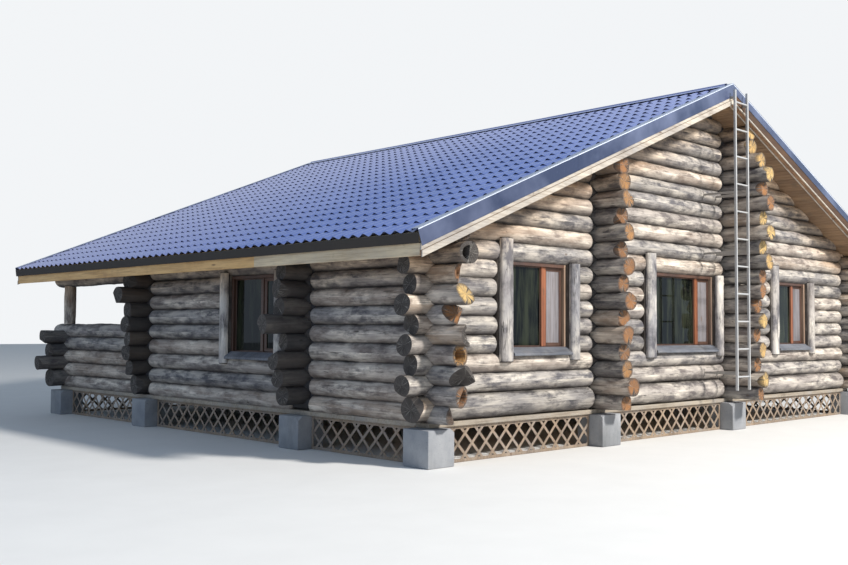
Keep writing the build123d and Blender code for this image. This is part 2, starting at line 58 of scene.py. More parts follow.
DOOR, DOOR_TOP = (7.60, 8.50), 2.711
GATE = (5.40, 7.00)
FLOOR_TOP, DECK_TOP = 0.705, 0.685

# How far the log ends run past the walls, from the lowest course up
ENDS_A = (.190, .335, .205, .295, .190, .345, .220, .335, .260, .200)
ENDS_B = (.300, .440, .580, .400, .530, .410, .525, .410, .540, .420, .420)
ENDS_C = (.280, .370, .440, .290, .620, .370, .390, .330, .300, .280, .280)
ENDS_D = (.150, .260, .320, .290, .340, .300, .470, .300, .280, .260)
ENDS_R = (.280, .360, .240, .380, .260, .350, .230, .370, .250, .330, .250)
ENDS_E = (.260, .500, .300, .420, .280, .300, .300, .300, .300, .320, .300)
ENDS_P2 = (.420, .540, .430, .380, .460, .380, .500, .380, .470, .360, .480, .350, .460,
           .400, .380)
ENDS_P3 = (.560, .640, .500, .600, .500, .630, .520, .610, .600, .720, .610, .755, .620,
           .755, .640, .740, .600, .440, .420)

UP, DOWN = Vector((0, 0, 1)), Vector((0, 0, -1))
QUARTER = math.pi / 2
TURNS = {'X': (0, QUARTER, 0), 'Y': (QUARTER, 0, 0), 'Z': (0, 0, 0)}


def y_log_z(j):
    return BASE + HALF + (j - 0.5) * COURSE


def x_log_z(k):
    return BASE + HALF + k * COURSE


def verge_z(x):
    return EAVE_Z + SLOPE * (RUN - abs(x - RIDGE))


def soffit_z(x):
    return verge_z(x) + SOFFIT


def pairs(stops):
    return zip(stops, stops[1:])


def span(face, out, a, b):
    """The stretch between two distances out from a face, its low end first."""
    return sorted((face + out * a, face + out * b))


# Hand tools

def nothing_selected():
    if bpy.context.object and bpy.context.object.mode != 'OBJECT':
        bpy.ops.object.mode_set(mode='OBJECT')
    bpy.ops.object.select_all(action='DESELECT')


def hold(piece):
    nothing_selected()
    piece.select_set(True)
    bpy.context.view_layer.objects.active = piece


def settle(piece):
    """Works the place, turn and scale of a piece into its shape."""
    hold(piece)
    bpy.ops.object.transform_apply(location=True, rotation=True, scale=True)
    return piece


def start_edit(piece):
    hold(piece)
    bpy.ops.object.mode_set(mode='EDIT')
    bpy.ops.mesh.select_all(action='DESELECT')


def end_edit():
    bpy.ops.object.mode_set(mode='OBJECT')


def choose(piece, kind, test):
    """Selects the vertices, edges or faces that pass a test, in edit mode."""
    bpy.ops.mesh.select_all(action='DESELECT')
    bpy.ops.mesh.select_mode(type=kind)
    shape = bmesh.from_edit_mesh(piece.data)
    for part in {'VERT': shape.verts, 'EDGE': shape.edges, 'FACE': shape.faces}[kind]:
        part.select_set(bool(test(part)))
    shape.select_flush_mode()
    bmesh.update_edit_mesh(piece.data)


def slice_off(point, normal, fill=True):
    """Cuts away what lies beyond a plane, in edit mode."""
    bpy.ops.mesh.select_all(action='SELECT')
    bpy.ops.mesh.bisect(plane_co=point, plane_no=normal, use_fill=fill, clear_outer=True)


def ease_edges(offset, segments=1):
    bpy.ops.mesh.select_all(action='SELECT')
    bpy.ops.mesh.bevel(offset=offset, segments=segments, affect='EDGES')


def apply(piece, kind, **settings):
    hold(piece)
    mod = piece.modifiers.new(kind.lower(), kind)
    for key, value in settings.items():
        setattr(mod, key, value)
    bpy.ops.object.modifier_apply(modifier=mod.name)
    return piece


def repeated(piece, count, step, **more):
    return apply(piece, 'ARRAY', count=count, use_relative_offset=False,
                 use_constant_offset=True, constant_offset_displace=step, **more)


def uneven(piece, label, size, strength):
    """Slightly uneven surface of hand worked timber."""
    texture = bpy.data.textures.get(label) or bpy.data.textures.new(label, 'CLOUDS')
    texture.noise_scale = size
    apply(piece, 'DISPLACE', texture=texture, strength=strength, mid_level=0.5,
          texture_coords='LOCAL')


def smooth(piece, degrees):
    hold(piece)
    bpy.ops.object.shade_smooth_by_angle(angle=math.radians(degrees))
    return piece


def joined(name, pieces):
    nothing_selected()
    for piece in pieces:
        piece.select_set(True)
    bpy.context.view_layer.objects.active = pieces[0]
    if len(pieces) > 1:
        bpy.ops.object.join()
    whole = bpy.context.view_layer.objects.active
    whole.name = name
    whole.data.name = name
    return whole


def skinned(piece, *materials):
    for material in materials:
        piece.data.materials.append(material)
    return piece


def timber(x0, x1, y0, y1, z0, z1, round_over=0.004, segments=1):
    """Squared board or block with eased edges."""
    nothing_selected()
    middle = ((x0 + x1) / 2, (y0 + y1) / 2, (z0 + z1) / 2)
    bpy.ops.mesh.primitive_cube_add(size=1, location=middle)
    piece = bpy.context.object
    piece.scale = (x1 - x0, y1 - y0, z1 - z0)
    settle(piece)
    if round_over:
        start_edit(piece)
        ease_edges(round_over, segments)
        end_edit()
    return piece


def rod(middle, radius, length, way='Z', sides=16):
    """Round bar along one axis."""
    nothing_selected()
    bpy.ops.mesh.primitive_cylinder_add(vertices=sides, radius=radius, depth=length,
                                        location=middle, rotation=TURNS[way])
    return settle(bpy.context.object)


def drawn_line(spots):
    """A line drawn point by point. The piece stays in edit mode."""
    nothing_selected()
    bpy.ops.mesh.primitive_plane_add(size=1, location=(0, 0, 0))
    piece = bpy.context.object
    start_edit(piece)
    choose(piece, 'VERT', lambda v: v.co.x > 0 or v.co.y > 0)
    bpy.ops.mesh.delete(type='VERT')
    choose(piece, 'VERT', lambda v: True)
    bpy.ops.transform.translate(value=spots[0] - Vector((-0.5, -0.5, 0)))
    for here, there in pairs(spots):
        bpy.ops.mesh.extrude_vertices_move(TRANSFORM_OT_translate={"value": there - here})
    return piece


def end_outward():
    """Turns all faces outward and ends the edit."""
    bpy.ops.mesh.select_all(action='SELECT')
    bpy.ops.mesh.normals_make_consistent(inside=False)
    end_edit()


def drawn(points, way, stops):
    """A sawn shape: its outline drawn and filled, then drawn out along X or Z."""
    spots = [Vector((stops[0], a, b) if way == 'X' else (a, b, stops[0])) for a, b in points]
    along = Vector((1, 0, 0)) if way == 'X' else UP
    piece = drawn_line(spots)
    bpy.ops.mesh.select_all(action='SELECT')
    bpy.ops.mesh.edge_face_add()
    for a, b in pairs(stops):
        bpy.ops.mesh.extrude_region_move(TRANSFORM_OT_translate={"value": along * (b - a)})
    end_outward()
    return piece


def bent_sheet(points, y0, y1, thick):
    """Bent sheet: its folded line drawn, drawn out along Y and thickened."""
    piece = drawn_line([Vector((x, y0, z)) for x, z in points])
    choose(piece, 'EDGE', lambda e: True)
    bpy.ops.mesh.extrude_edges_move(TRANSFORM_OT_translate={"value": (0, y1 - y0, 0)})
    end_outward()
    return apply(piece, 'SOLIDIFY', thickness=thick, offset=0)


def turned_to(piece, spot):
    """Sets a piece that was made facing the front onto another wall."""
    x, y, turn = spot
    piece.rotation_euler = (0, 0, turn)
    piece.location = (x, y, 0)
    return settle(piece)


def placed(pieces, name, slot, replaced, *materials):
    """Joins the pieces, moves the whole into the shared frame, hangs it under the root and hides
    the parts it replaces.
    """
    piece = joined(name, pieces)
    piece.location = piece.location + TO_FRAME
    settle(piece)
    if materials:
        piece.data.materials.clear()
        skinned(piece, *materials)
    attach(piece, "root")
    if replaced:
        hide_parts(*replaced)


# Finishes

class Signal:
    """What one node gives on. Sums, differences and products of it are nodes as well."""

    def __init__(self, nodes, socket):
        self.nodes, self.socket = nodes, socket

    def __add__(self, other):
        return self.nodes.math('ADD', self, other)

    def __sub__(self, other):
        return self.nodes.math('SUBTRACT', self, other)

    def __rsub__(self, other):
        return self.nodes.math('SUBTRACT', other, self)

    def __mul__(self, other):
        return self.nodes.math('MULTIPLY', self, other)

    def __abs__(self):
        return self.nodes.math('ABSOLUTE', self)

    def ramp(self, low, at_low, high, at_high):
        """Runs from one grey or colour, at the value low, to another, at high."""
        made = self.nodes.node('ShaderNodeValToRGB')
        self.nodes.feed(made.inputs['Fac'], self)
        ends = zip(made.color_ramp.elements, (low, high), (at_low, at_high))
        for element, place, colour in ends:
            element.position = place
            element.color = (*(colour if isinstance(colour, tuple) else (colour,) * 3), 1.0)
        return Signal(self.nodes, made.outputs['Color'])


class Nodes:
    """A network of shader nodes."""

    def __init__(self, tree):
        self.tree = tree

    def node(self, kind, **settings):
        made = self.tree.nodes.new(kind)
        for key, value in settings.items():
            setattr(made, key, value)
        return made

    def feed(self, target, value):
        """Gives a socket a signal, a colour or a number."""
        if isinstance(value, Signal):
            self.tree.links.new(value.socket, target)
        else:
            target.default_value = (*value, 1.0) if isinstance(value, tuple) else value

    def made(self, kind, output, fed, **settings):
        """A node with its sockets fed by name or number, as the signal of one output."""
        made = self.node(kind, **settings)
        for socket, value in fed.items():
            self.feed(made.inputs[socket], value)
        return Signal(self, made.outputs[output])

    def math(self, kind, a, b=0.0):
        return self.made('ShaderNodeMath', 0, {0: a, 1: b}, operation=kind)

    def mix(self, factor, a, b, mode='MIX'):
        return self.made('ShaderNodeMix', 'Result', {'Factor': factor, 'A': a, 'B': b},
                         data_type='RGBA', blend_type=mode)


class Finish(Nodes):
    """One procedural material, laid on coat by coat."""

    def __init__(self, name, base=None):
        self.material = bpy.data.materials.new(name)
        self.material.use_nodes = True
        super().__init__(self.material.node_tree)
        self.body = base

    def spot(self, x=1.0, y=1.0, z=1.0, uv=None):
        """Place on the piece, scaled along each axis: on one of its flat maps, or in space."""
        if uv:
            source = self.node('ShaderNodeUVMap', uv_map=uv).outputs['UV']
        else:
            source = self.node('ShaderNodeTexCoord').outputs['Object']
        mapping = self.node('ShaderNodeMapping')
        mapping.inputs['Scale'].default_value = (x, y, z)
        self.tree.links.new(source, mapping.inputs['Vector'])
        return Signal(self, mapping.outputs['Vector'])

    def log_spot(self, along, around):
        return self.spot(along, around, uv="Grain")

    def noise(self, spot, scale, detail=4.0, rough=0.55, twist=0.0):
        return self.made('ShaderNodeTexNoise', 'Fac', {
            'Vector': spot, 'Scale': scale, 'Detail': detail, 'Roughness': rough,
            'Distortion': twist})

    def knots(self, spot, scale, low, high):
        """Round knots: full up to the distance low from their middle, gone at high."""
        far = self.made('ShaderNodeTexVoronoi', 'Distance', {'Vector': spot, 'Scale': scale},
                        feature='F1')
        return far.ramp(low, 1.0, high, 0.0)

    def axes(self, spot):
        parts = self.node('ShaderNodeSeparateXYZ')
        self.feed(parts.inputs[0], spot)
        return [Signal(self, socket) for socket in parts.outputs]

    def vector(self, x, y, z):
        return self.made('ShaderNodeCombineXYZ', 0, {0: x, 1: y, 2: z})

    def attribute(self, name):
        return self.made('ShaderNodeAttribute', 'Fac', {}, attribute_name=name)

    def coat(self, cover, colour, mode='MIX'):
        self.body = self.mix(cover, self.body, colour, mode)

    def bump(self, height, strength, depth):
        return self.made('ShaderNodeBump', 'Normal', {
            'Strength': strength, 'Distance': depth, 'Height': height})

    def done(self, rough, normal=None, **plain):
        inputs = self.tree.nodes["Principled BSDF"].inputs
        self.feed(inputs['Base Color'], self.body)
        self.feed(inputs['Roughness'], rough)
        if normal is not None:
            self.feed(inputs['Normal'], normal)
        for name, value in plain.items():
            inputs[name.replace('_', ' ')].default_value = value
        return self.material


def log_skin(name, pale, mid, dark, brown, streak=0.55):
    """Barked-off log, silvered by weather: grain, drying cracks, knots, and painted shade with
    some dirt in the grooves.
    """
    f = Finish(name, pale)
    tone = f.attribute("log_tone")
    grain = f.noise(f.log_spot(0.7, 24), 2.0, 8, 0.66, 0.3)
    patches = f.noise(f.log_spot(0.55, 2.6), 2.0, 5, 0.6, 0.6)
    blotch = f.noise(f.log_spot(1.7, 4.2), 1.5, 7, 0.66)
    underside_mottle = f.noise(f.log_spot(1.1, 2.2), 1.3, 6, 0.7, 0.4)
    weather = f.noise(f.log_spot(0.9, 1.3), 1.0, 3, 0.5)
    f.coat(patches.ramp(0.40, 0.0, 0.58, 1.0), mid)
    f.coat(blotch.ramp(0.45, 0.0, 0.62, 0.92), dark)
    f.coat(tone.ramp(0.40, 0.0, 1.0, 1.0) * patches.ramp(0.3, 0.15, 0.7, 0.85), brown)
    f.coat(grain.ramp(0.34, streak, 0.56, 0.0), (0.42, 0.40, 0.40), 'MULTIPLY')
    f.coat(weather.ramp(0.40, 0.0, 0.64, 0.55), (0.50, 0.49, 0.52), 'MULTIPLY')

    # Warmer and darker close under the roof, fading out about 0.66 m below it
    across, _, up = f.axes(f.spot())
    below_roof = EAVE_Z + SLOPE * RUN - abs(across) * SLOPE - up
    f.coat(below_roof.ramp(0.14, 0.80, 0.66, 0.0), (0.98, 0.76, 0.54), 'MULTIPLY')
    light = tone * 0.62 + 0.70
    f.coat(1.0, f.vector(light, light, light), 'MULTIPLY')
    # Darker mottled patches on the underside of each log.
    f.coat(f.attribute("below") * underside_mottle.ramp(0.32, 0.15, 0.56, 1.0) * 0.95,
           (0.075, 0.064, 0.060))

    cracks = f.noise(f.log_spot(0.35, 9.0), 2.4, 3, 0.5, 0.2)
    some = f.noise(f.log_spot(1, 1), 1.3, 2).ramp(0.45, 0.0, 0.58, 1.0)
    crack = abs(cracks - 0.5).ramp(0.0, 1.0, 0.012, 0.0) * some
    f.coat(crack, (0.035, 0.03, 0.027))
    knot = f.knots(f.log_spot(1.7, 3.3), 1.1, 0.035, 0.075)
    f.coat(knot * 0.75, (0.10, 0.065, 0.045))
    # Painted shade, with some dirt, in the grooves between courses: darker towards the top and
    # bottom of each log.
    groove = f.attribute("groove") + (blotch - 0.5) * 0.5
    f.coat(groove.ramp(0.70, 0.0, 0.99, 0.92), (0.045, 0.038, 0.034))
    # Near black on the stubs beyond the walls, partly weathering and partly painted shade, and on
    # the hewn cores and packing blocks as painted shade.
    f.coat(f.attribute("weather_and_shade") * blotch.ramp(0.35, 1.0, 0.75, 0.78), (0.030, 0.029, 0.032))
    height = grain * 0.5 - crack * 1.6 - knot * 0.4
    return f.done(grain * 0.22 + 0.62, f.bump(height, 0.75, 0.006))


def cut_face(name, pale, dark):
    """Sawn or hewn log end: year rings, star cracks and a dark weathered rim."""
    f = Finish(name, pale)
    flat = f.spot(uv="Cut")
    across, up = f.axes(flat)[:2]
    far = f.math('SQRT', across * across + up * up)
    far = far + (f.noise(flat, 14.0, 3, 0.5) - 0.5) * 0.018
    rings = (f.math('SINE', far * 620.0) + 1.0) * 0.5
    fresh = f.attribute("fresh")
    f.coat(f.noise(flat, 9.0, 5, 0.6).ramp(0.35, 0.0, 0.65, 1.0), dark)
    raw = f.mix(fresh.ramp(0.70, 0.0, 0.95, 1.0), (0.50, 0.215, 0.065), (0.74, 0.50, 0.19))
    f.coat(f.noise(flat, 7.0, 4).ramp(0.30, 0.45, 0.58, 1.0) * fresh, raw)
    f.coat(rings * 0.30, (0.10, 0.07, 0.05))
    angle = f.math('ARCTAN2', up, across)
    around = f.vector(f.math('COSINE', angle), f.math('SINE', angle),
                      f.attribute("log_tone") * 9.0)
    star = abs(f.noise(around, 2.6, 2, 0.5) - 0.5)
    wide = far.ramp(0.0, 0.35, 0.10, 1.0) * 0.022
    crack = f.math('LESS_THAN', star, wide)
    f.coat(f.math('LESS_THAN', star, wide + 0.012) * 0.7, (0.34, 0.32, 0.29))
    f.coat(crack * 0.9, (0.018, 0.015, 0.013))
    f.coat(far.ramp(0.088, 0.0, 0.118, 0.75), (0.07, 0.06, 0.055))
    return f.done(0.85, f.bump(rings * 0.25 - crack * 1.5, 0.8, 0.006))


def board_skin(name, pale, dark, run, stain=(0.10, 0.08, 0.06), rough=0.7, silver=0.0):
    """Sawn board with its grain along one axis. silver is how grey it has weathered."""
    f = Finish(name, pale)
    stretch = [1.2 if axis == run else 22 for axis in 'XYZ']
    grain = f.noise(f.spot(*stretch), 1.6, 8, 0.62, 0.4)
    patch = f.noise(f.spot(*(0.12 * s + 0.5 for s in stretch)), 1.0, 4, 0.6)
    blot = f.noise(f.spot(1.5, 1.5, 1.5), 2.0, 6, 0.65)
    f.coat(patch.ramp(0.35, 0.0, 0.65, 1.0), dark)
    f.coat(grain.ramp(0.34, 0.7, 0.56, 0.0), (0.55, 0.48, 0.42), 'MULTIPLY')
    f.coat(blot.ramp(0.56, 0.0, 0.74, 0.65), stain)
    if silver:
        f.coat(blot.ramp(0.30, 1.0, 0.52, 0.0) * silver, (0.34, 0.33, 0.32))
    knot = f.knots(f.spot(*(0.22 * s + 1.4 for s in stretch)), 0.8, 0.05, 0.10)
    f.coat(knot * 0.7, (0.12, 0.06, 0.03))
    return f.done(grain * 0.2 + (rough - 0.1), f.bump(grain - knot * 0.5, 0.5, 0.003))


def sheet_metal(name, colour, dust_and_reflection, rough, shine=0.5, painted_sheen=None, patch=0.45):
    """Factory painted sheet: faint waviness, dust in patches, fine scratches; where the patches
    are strong, as on the verge sheet, they are painted reflection.

    The last argument is a paler colour painted towards the ridge and the back: painted reflection
    and sunlit sheen.
    """
    f = Finish(name, colour)
    big = f.noise(f.spot(0.7, 0.7, 0.7), 1.4, 4, 0.55)
    fine = f.noise(f.spot(), 42.0, 4, 0.6)
    streak = f.noise(f.spot(1.0, 9.0, 1.0), 1.4, 5, 0.6)
    f.coat(big.ramp(0.40, 0.0, 0.72, patch), dust_and_reflection)
    f.coat(streak.ramp(0.55, 0.0, 0.75, 0.28), dust_and_reflection)
    f.coat(fine.ramp(0.60, 0.0, 0.74, 0.22), dust_and_reflection)
    if painted_sheen:
        # Paler towards the back and towards the ridge: painted reflection and sunlit sheen.
        across, back = f.axes(f.spot(0.1, 0.1, 0.1))[:2]
        f.coat((back + 0.5).ramp(0.25, 0.0, 1.0, 0.85), painted_sheen)
        f.coat(abs(across).ramp(0.02, 0.40, 0.40, 0.0), painted_sheen)
    return f.done(big * 0.22 + (rough - 0.08), f.bump(big + fine * 0.06, 0.22, 0.01),
                  Metallic=0.0, Coat_Weight=shine, Coat_Roughness=0.18)


def concrete():
    f = Finish("pier concrete", (0.36, 0.37, 0.39))
    coarse = f.noise(f.spot(), 3.0, 8, 0.6)
    pits = f.noise(f.spot(), 60.0, 3, 0.6)
    damp = f.noise(f.spot(1, 1, 0.35), 2.2, 5, 0.6)
    f.coat(coarse.ramp(0.35, 0.0, 0.65, 1.0), (0.26, 0.275, 0.30))
    f.coat(damp.ramp(0.50, 0.0, 0.72, 0.6), (0.13, 0.135, 0.13))
    f.coat(pits.ramp(0.30, 0.5, 0.38, 0.0), (0.08, 0.08, 0.08))
    return f.done(0.9, f.bump(coarse + pits * 0.3, 0.6, 0.006))


def pane():
    # Opaque pane: its near-black colour is painted shade of the room behind the glass, with
    # greenish mottled patches over it.
    f = Finish("window pane", (0.003, 0.004, 0.004))
    green_mottle = f.noise(f.spot(4, 4, 0.5), 2.4, 4, 0.6)
    f.coat(green_mottle.ramp(0.44, 0.0, 0.64, 1.0), (0.026, 0.031, 0.019))
    return f.done(green_mottle.ramp(0.4, 0.015, 0.75, 0.07), Metallic=0.0, IOR=1.33,
                  Specular_IOR_Level=0.35)


LOG_SKIN = log_skin("weathered log", (0.84, 0.775, 0.68), (0.46, 0.435, 0.415),
                    (0.100, 0.097, 0.113), (0.46, 0.33, 0.21))
LOG_WARM = log_skin("sheltered log", (0.52, 0.42, 0.30), (0.40, 0.315, 0.22),
                    (0.20, 0.155, 0.11), (0.42, 0.27, 0.15))
LOG_CUT = cut_face("log end", (0.070, 0.064, 0.060), (0.022, 0.020, 0.020))
OLD_BOARD = board_skin("old verge board", (0.60, 0.545, 0.46), (0.38, 0.35, 0.32), 'X',
                       silver=0.5)
GREY_BOARD = board_skin("old eave board", (0.76, 0.63, 0.43), (0.58, 0.47, 0.32), 'Y',
                        silver=0.25)
NEW_BOARD = board_skin("new eave board", (0.80, 0.52, 0.23), (0.68, 0.41, 0.16), 'Y',
                       stain=(0.36, 0.20, 0.09), rough=0.6)
SOFFIT_BOARD = board_skin("soffit board", (0.29, 0.185, 0.105), (0.20, 0.125, 0.075), 'Y')
LATH = board_skin("lattice lath", (0.36, 0.27, 0.19), (0.24, 0.19, 0.15), 'Z', silver=0.4)
CASING = log_skin("half round post", (0.86, 0.81, 0.73), (0.46, 0.455, 0.47),
                  (0.085, 0.09, 0.125), (0.42, 0.36, 0.29), streak=0.30)
SILL = board_skin("window sill", (0.175, 0.19, 0.225), (0.095, 0.105, 0.13), 'X',
                  stain=(0.06, 0.06, 0.07), silver=0.3)
# The dark verge board and the shaded verge board are browner wood, darkened further as painted
# shade.
DARK_BOARD = board_skin("dark verge board", (0.095, 0.045, 0.018), (0.052, 0.026, 0.012), 'X',
                        stain=(0.030, 0.017, 0.010))
SIDE_BOARD = board_skin("shaded verge board", (0.36, 0.21, 0.115), (0.22, 0.12, 0.065), 'X',
                        stain=(0.09, 0.05, 0.03))
REVEAL = board_skin("window reveal", (0.40, 0.285, 0.205), (0.27, 0.19, 0.145), 'Z',
                    stain=(0.12, 0.07, 0.05), rough=0.55)
VENT_BOARD = board_skin("vent board", (0.26, 0.245, 0.26), (0.145, 0.14, 0.155), 'Z',
                        stain=(0.10, 0.10, 0.115), rough=0.5)
# One red-brown window paint in two copies: the frame timber is the shaded copy, the sash timber
# the sunlit copy.
SHADED_FRAME_WOOD = board_skin("shaded window timber", (0.115, 0.058, 0.038), (0.065, 0.036, 0.027), 'Z',
                        stain=(0.10, 0.035, 0.02), rough=0.45)
SUNLIT_SASH_WOOD = board_skin("sunlit sash timber", (0.36, 0.125, 0.052), (0.20, 0.070, 0.034), 'Z',
                       stain=(0.10, 0.035, 0.02), rough=0.42)
DECK = board_skin("deck board", (0.42, 0.37, 0.30), (0.30, 0.27, 0.23), 'X', silver=0.5)
FLOOR = board_skin("floor board", (0.50, 0.36, 0.21), (0.42, 0.29, 0.17), 'X')
PLANK = board_skin("sill plank", (0.44, 0.38, 0.30), (0.32, 0.28, 0.23), 'X', silver=0.5)
# Its paler back and ridge parts are painted reflection and sunlit sheen.
TILE_SHEET = sheet_metal("tile sheet", (0.037, 0.077, 0.285), (0.115, 0.17, 0.42), 0.38,
                         painted_sheen=(0.30, 0.32, 0.53))
# Darker copy of the sheet paint for the step risers: painted shade.
TILE_STEP_SHADE = sheet_metal("tile step shade", (0.020, 0.028, 0.075), (0.035, 0.04, 0.07), 0.60, 0.1)
# Its strong pale patches are painted reflection.
VERGE_SHEET = sheet_metal("verge sheet", (0.014, 0.024, 0.070), (0.125, 0.15, 0.25), 0.30,
                          patch=1.0)
# Pale strip along the top of the verge flashing: a painted highlight.
VERGE_LIP_HIGHLIGHT = sheet_metal("verge lip highlight", (0.72, 0.79, 0.92), (0.50, 0.56, 0.68), 0.35)
DARK_SHEET = sheet_metal("dark flashing", (0.024, 0.019, 0.016), (0.048, 0.038, 0.030), 0.75,
                         0.0)
ARM_IRON = sheet_metal("ladder arm iron", (0.32, 0.30, 0.28), (0.40, 0.36, 0.32), 0.6, 0.0)
LADDER = sheet_metal("ladder paint", (0.46, 0.47, 0.48), (0.30, 0.29, 0.27), 0.45)
CONCRETE = concrete()
PANE = pane()


# Logs

NECK = 0.185        # half the width where a log is cut back for a crossing log
CORNER = 0.285      # inner end of the cut back at a corner
FOOT_LOG = (BASE + 0.163, 0.160)        # middle and radius of the half logs at the foot
FOOT_CUT = (Vector((0, 0, BASE + 0.002)), DOWN)
WINDOW_COURSES, DOOR_COURSES = range(3, 8), range(1, 9)


def log_bar(way, start, end, side, height, radius, cuts=(), ring=0.11, sides=20, fresh=0.0,
            hollow=0.0, eased=(), weather_and_shade=0.0):
    """One log along an axis; side and height are its place on the other two. cuts are (point,
    normal) of axe or saw cuts at its ends; eased lists the ends that are rounded over."""
    length, axis = end - start, 'XYZ'.index(way)
    place = [side, height]
    place.insert(axis, (start + end) / 2)
    piece = rod(place, radius, length, way, sides)
    start_edit(piece)
    choose(piece, 'EDGE',
           lambda e: abs(e.verts[0].co[axis] - e.verts[1].co[axis]) > length * 0.9)
    bpy.ops.mesh.subdivide(number_cuts=max(1, int(length / ring)))
    for tip in eased:
        choose(piece, 'EDGE', lambda e: all(abs(v.co[axis] - tip) < 0.002 for v in e.verts))
        bpy.ops.mesh.bevel(offset=radius * random.uniform(0.42, 0.60), segments=3,
                           affect='EDGES')
    for cut in cuts:
        slice_off(*cut)
    if hollow:
        choose(piece, 'FACE', lambda f: f.normal[axis] < -0.6 and f.calc_area() > 0.018
               and f.calc_center_median()[axis] < start + 0.12)
        bpy.ops.mesh.inset(thickness=radius * 0.30)
        for share in (0.35, 0.65):
            inward = [0.0, 0.0, 0.0]
            inward[axis] = hollow * share
            bpy.ops.mesh.extrude_region_move(TRANSFORM_OT_translate={"value": inward})
            bpy.ops.transform.resize(value=(0.78, 0.78, 0.78))
    end_edit()
    grain_marks(piece, way, side, height, radius, fresh, eased, weather_and_shade)
    return piece


def grain_marks(piece, way, side, height, radius, fresh, eased=(), weather_and_shade=0.0):
    """Maps the grain along the log, the year rings across it, and its own tone."""
    mesh = piece.data
    axis = 'XYZ'.index(way)
    upright = axis == 2

    def spot(co):
        return (co[0] - side, co[1] - height) if upright else (co[1 - axis] - side,
                                                               co[2] - height)
    tone, shift = random.random(), random.uniform(0, 40)
    for layer in list(mesh.uv_layers):
        mesh.uv_layers.remove(layer)
    mesh.uv_layers.new(name="Grain")
    mesh.uv_layers.new(name="Cut")
    rise = []
    for vertex in mesh.vertices:
        across, up = spot(vertex.co)
        rise.append(up / (math.hypot(across, up) or 1.0))
    count = len(rise)
    for label, values in (
            ("groove", [0.4] * count if upright else [abs(up) for up in rise]),
            ("below", [0.2] * count if upright else [max(0.0, -up) for up in rise]),
            ("log_tone", [tone] * count), ("fresh", [fresh] * count), ("weather_and_shade", [weather_and_shade] * count)):
        mesh.attributes.new(label, 'FLOAT', 'POINT').data.foreach_set("value", values)
    grain, cut = mesh.uv_layers["Grain"], mesh.uv_layers["Cut"]
    for face in mesh.polygons:
        across, up = spot(face.center)
        end_face = abs(face.normal[axis]) > 0.35 or math.hypot(across, up) < radius * 0.8
        end_face = end_face and not any(abs(face.center[axis] - tip) < 0.11 for tip in eased)
        face.material_index = 1 if end_face else 0
        home = math.atan2(up, across)
        for corner in face.loop_indices:
            co = mesh.vertices[mesh.loops[corner].vertex_index].co
            across, up = spot(co)
            angle = math.atan2(up, across)
            angle += 2 * math.pi * round((home - angle) / (2 * math.pi))
            grain.data[corner].uv = (co[axis] + shift, angle * radius + shift * 0.37)
            cut.data[corner].uv = (across, up)


def end_cuts(way, tip, side, height, out, kind):
    """Planes that shape a log end: a slightly tilted saw cut, and axe cuts on some."""
    tilt_a, tilt_b = random.uniform(-0.12, 0.12), random.uniform(-0.12, 0.12)

    def plane(along, a, b, normal_a, normal_b):
        if way == 'X':
            return (Vector((tip - out * along, side + a, height + b)),
                    Vector((out, normal_a, normal_b)).normalized())
        return (Vector((side + a, tip - out * along, height + b)),
                Vector((normal_a, out, normal_b)).normalized())
    cuts = [plane(0.012, 0, 0, tilt_a, tilt_b)]
    for _ in range(kind):
        angle = random.uniform(0, 2 * math.pi)
        lean = random.uniform(0.7, 1.8)
        bite = random.uniform(0.055, 0.095)
        a, b = math.cos(angle), math.sin(angle)
        cuts.append(plane(0.0, a * bite, b * bite, a * lean, b * lean))
    return cuts


def axe_cuts(tip, side, height, leans):
    """Broad axe cuts that leave a front end as a blade or a blunt point."""
    return [(Vector((side, tip + bite, height)), Vector((across, -1.0, up)).normalized())
            for across, up, bite in leans]


def roof_cuts(way, side):
    """Cuts under the sloping soffit for the ends of a log that reach it."""
    if way == 'X':
        foot, flips = Vector((RIDGE, side, soffit_z(RIDGE) - 0.004)), (-1, 1)
    else:
        foot, flips = Vector((side, 0, soffit_z(side) - 0.004)), (-1 if side < RIDGE else 1,)
    return [(foot, Vector((flip * SLOPE, 0, 1)).normalized()) for flip in flips]


def hewn(name, logs, skin, *nodes, slot="weathered_log"):
    """Joins the logs of one wall and gives them their uneven, worked surface."""
    wall = joined(name, [skinned(log, skin, LOG_CUT) for log in logs])
    for texture in (("long swell", 0.50, 0.028), ("hewn flats", 0.20, 0.016),
                    ("axe marks", 0.09, 0.008)):
        uneven(wall, *texture)
    placed([smooth(wall, 38)], name, slot, nodes)


def log_size():
    return LOG * random.uniform(1.0, 1.05)


def stub_kind(length):
    return random.choice((0, 1, 1, 2)) if length > 0.25 else random.choice((0, 0, 1))


def broken_runs(start, end, holes):
    runs, here = [], start
    for low, high in sorted(holes):
        if low > here:
            runs.append((here, low))
        here = high
    if end > here:
        runs.append((here, end))
    return runs


def necked(runs, necks):
    return [part for low, high in runs for part in
            broken_runs(low, high, [(a, b) for a, b in necks if low < a and b < high])]


def cores(way, runs, first, last, side, z):
    """Slim hewn cores behind the places where the round of a log is cut back, painted near black
    as shade.
    """
    return [log_bar(way, max(low, first), min(high, last), side, z, 0.085, ring=4.0, sides=8,
                    weather_and_shade=1.0)
            for low, high in runs if min(high, last) - max(low, first) > 0.2]


def wall_block(way, low, high, depth, z0, z1):
    """Squared block in a wall along X or Y."""
    spans = ((low, high), depth) if way == 'X' else (depth, (low, high))
    return timber(*spans[0], *spans[1], z0, z1, 0.0)


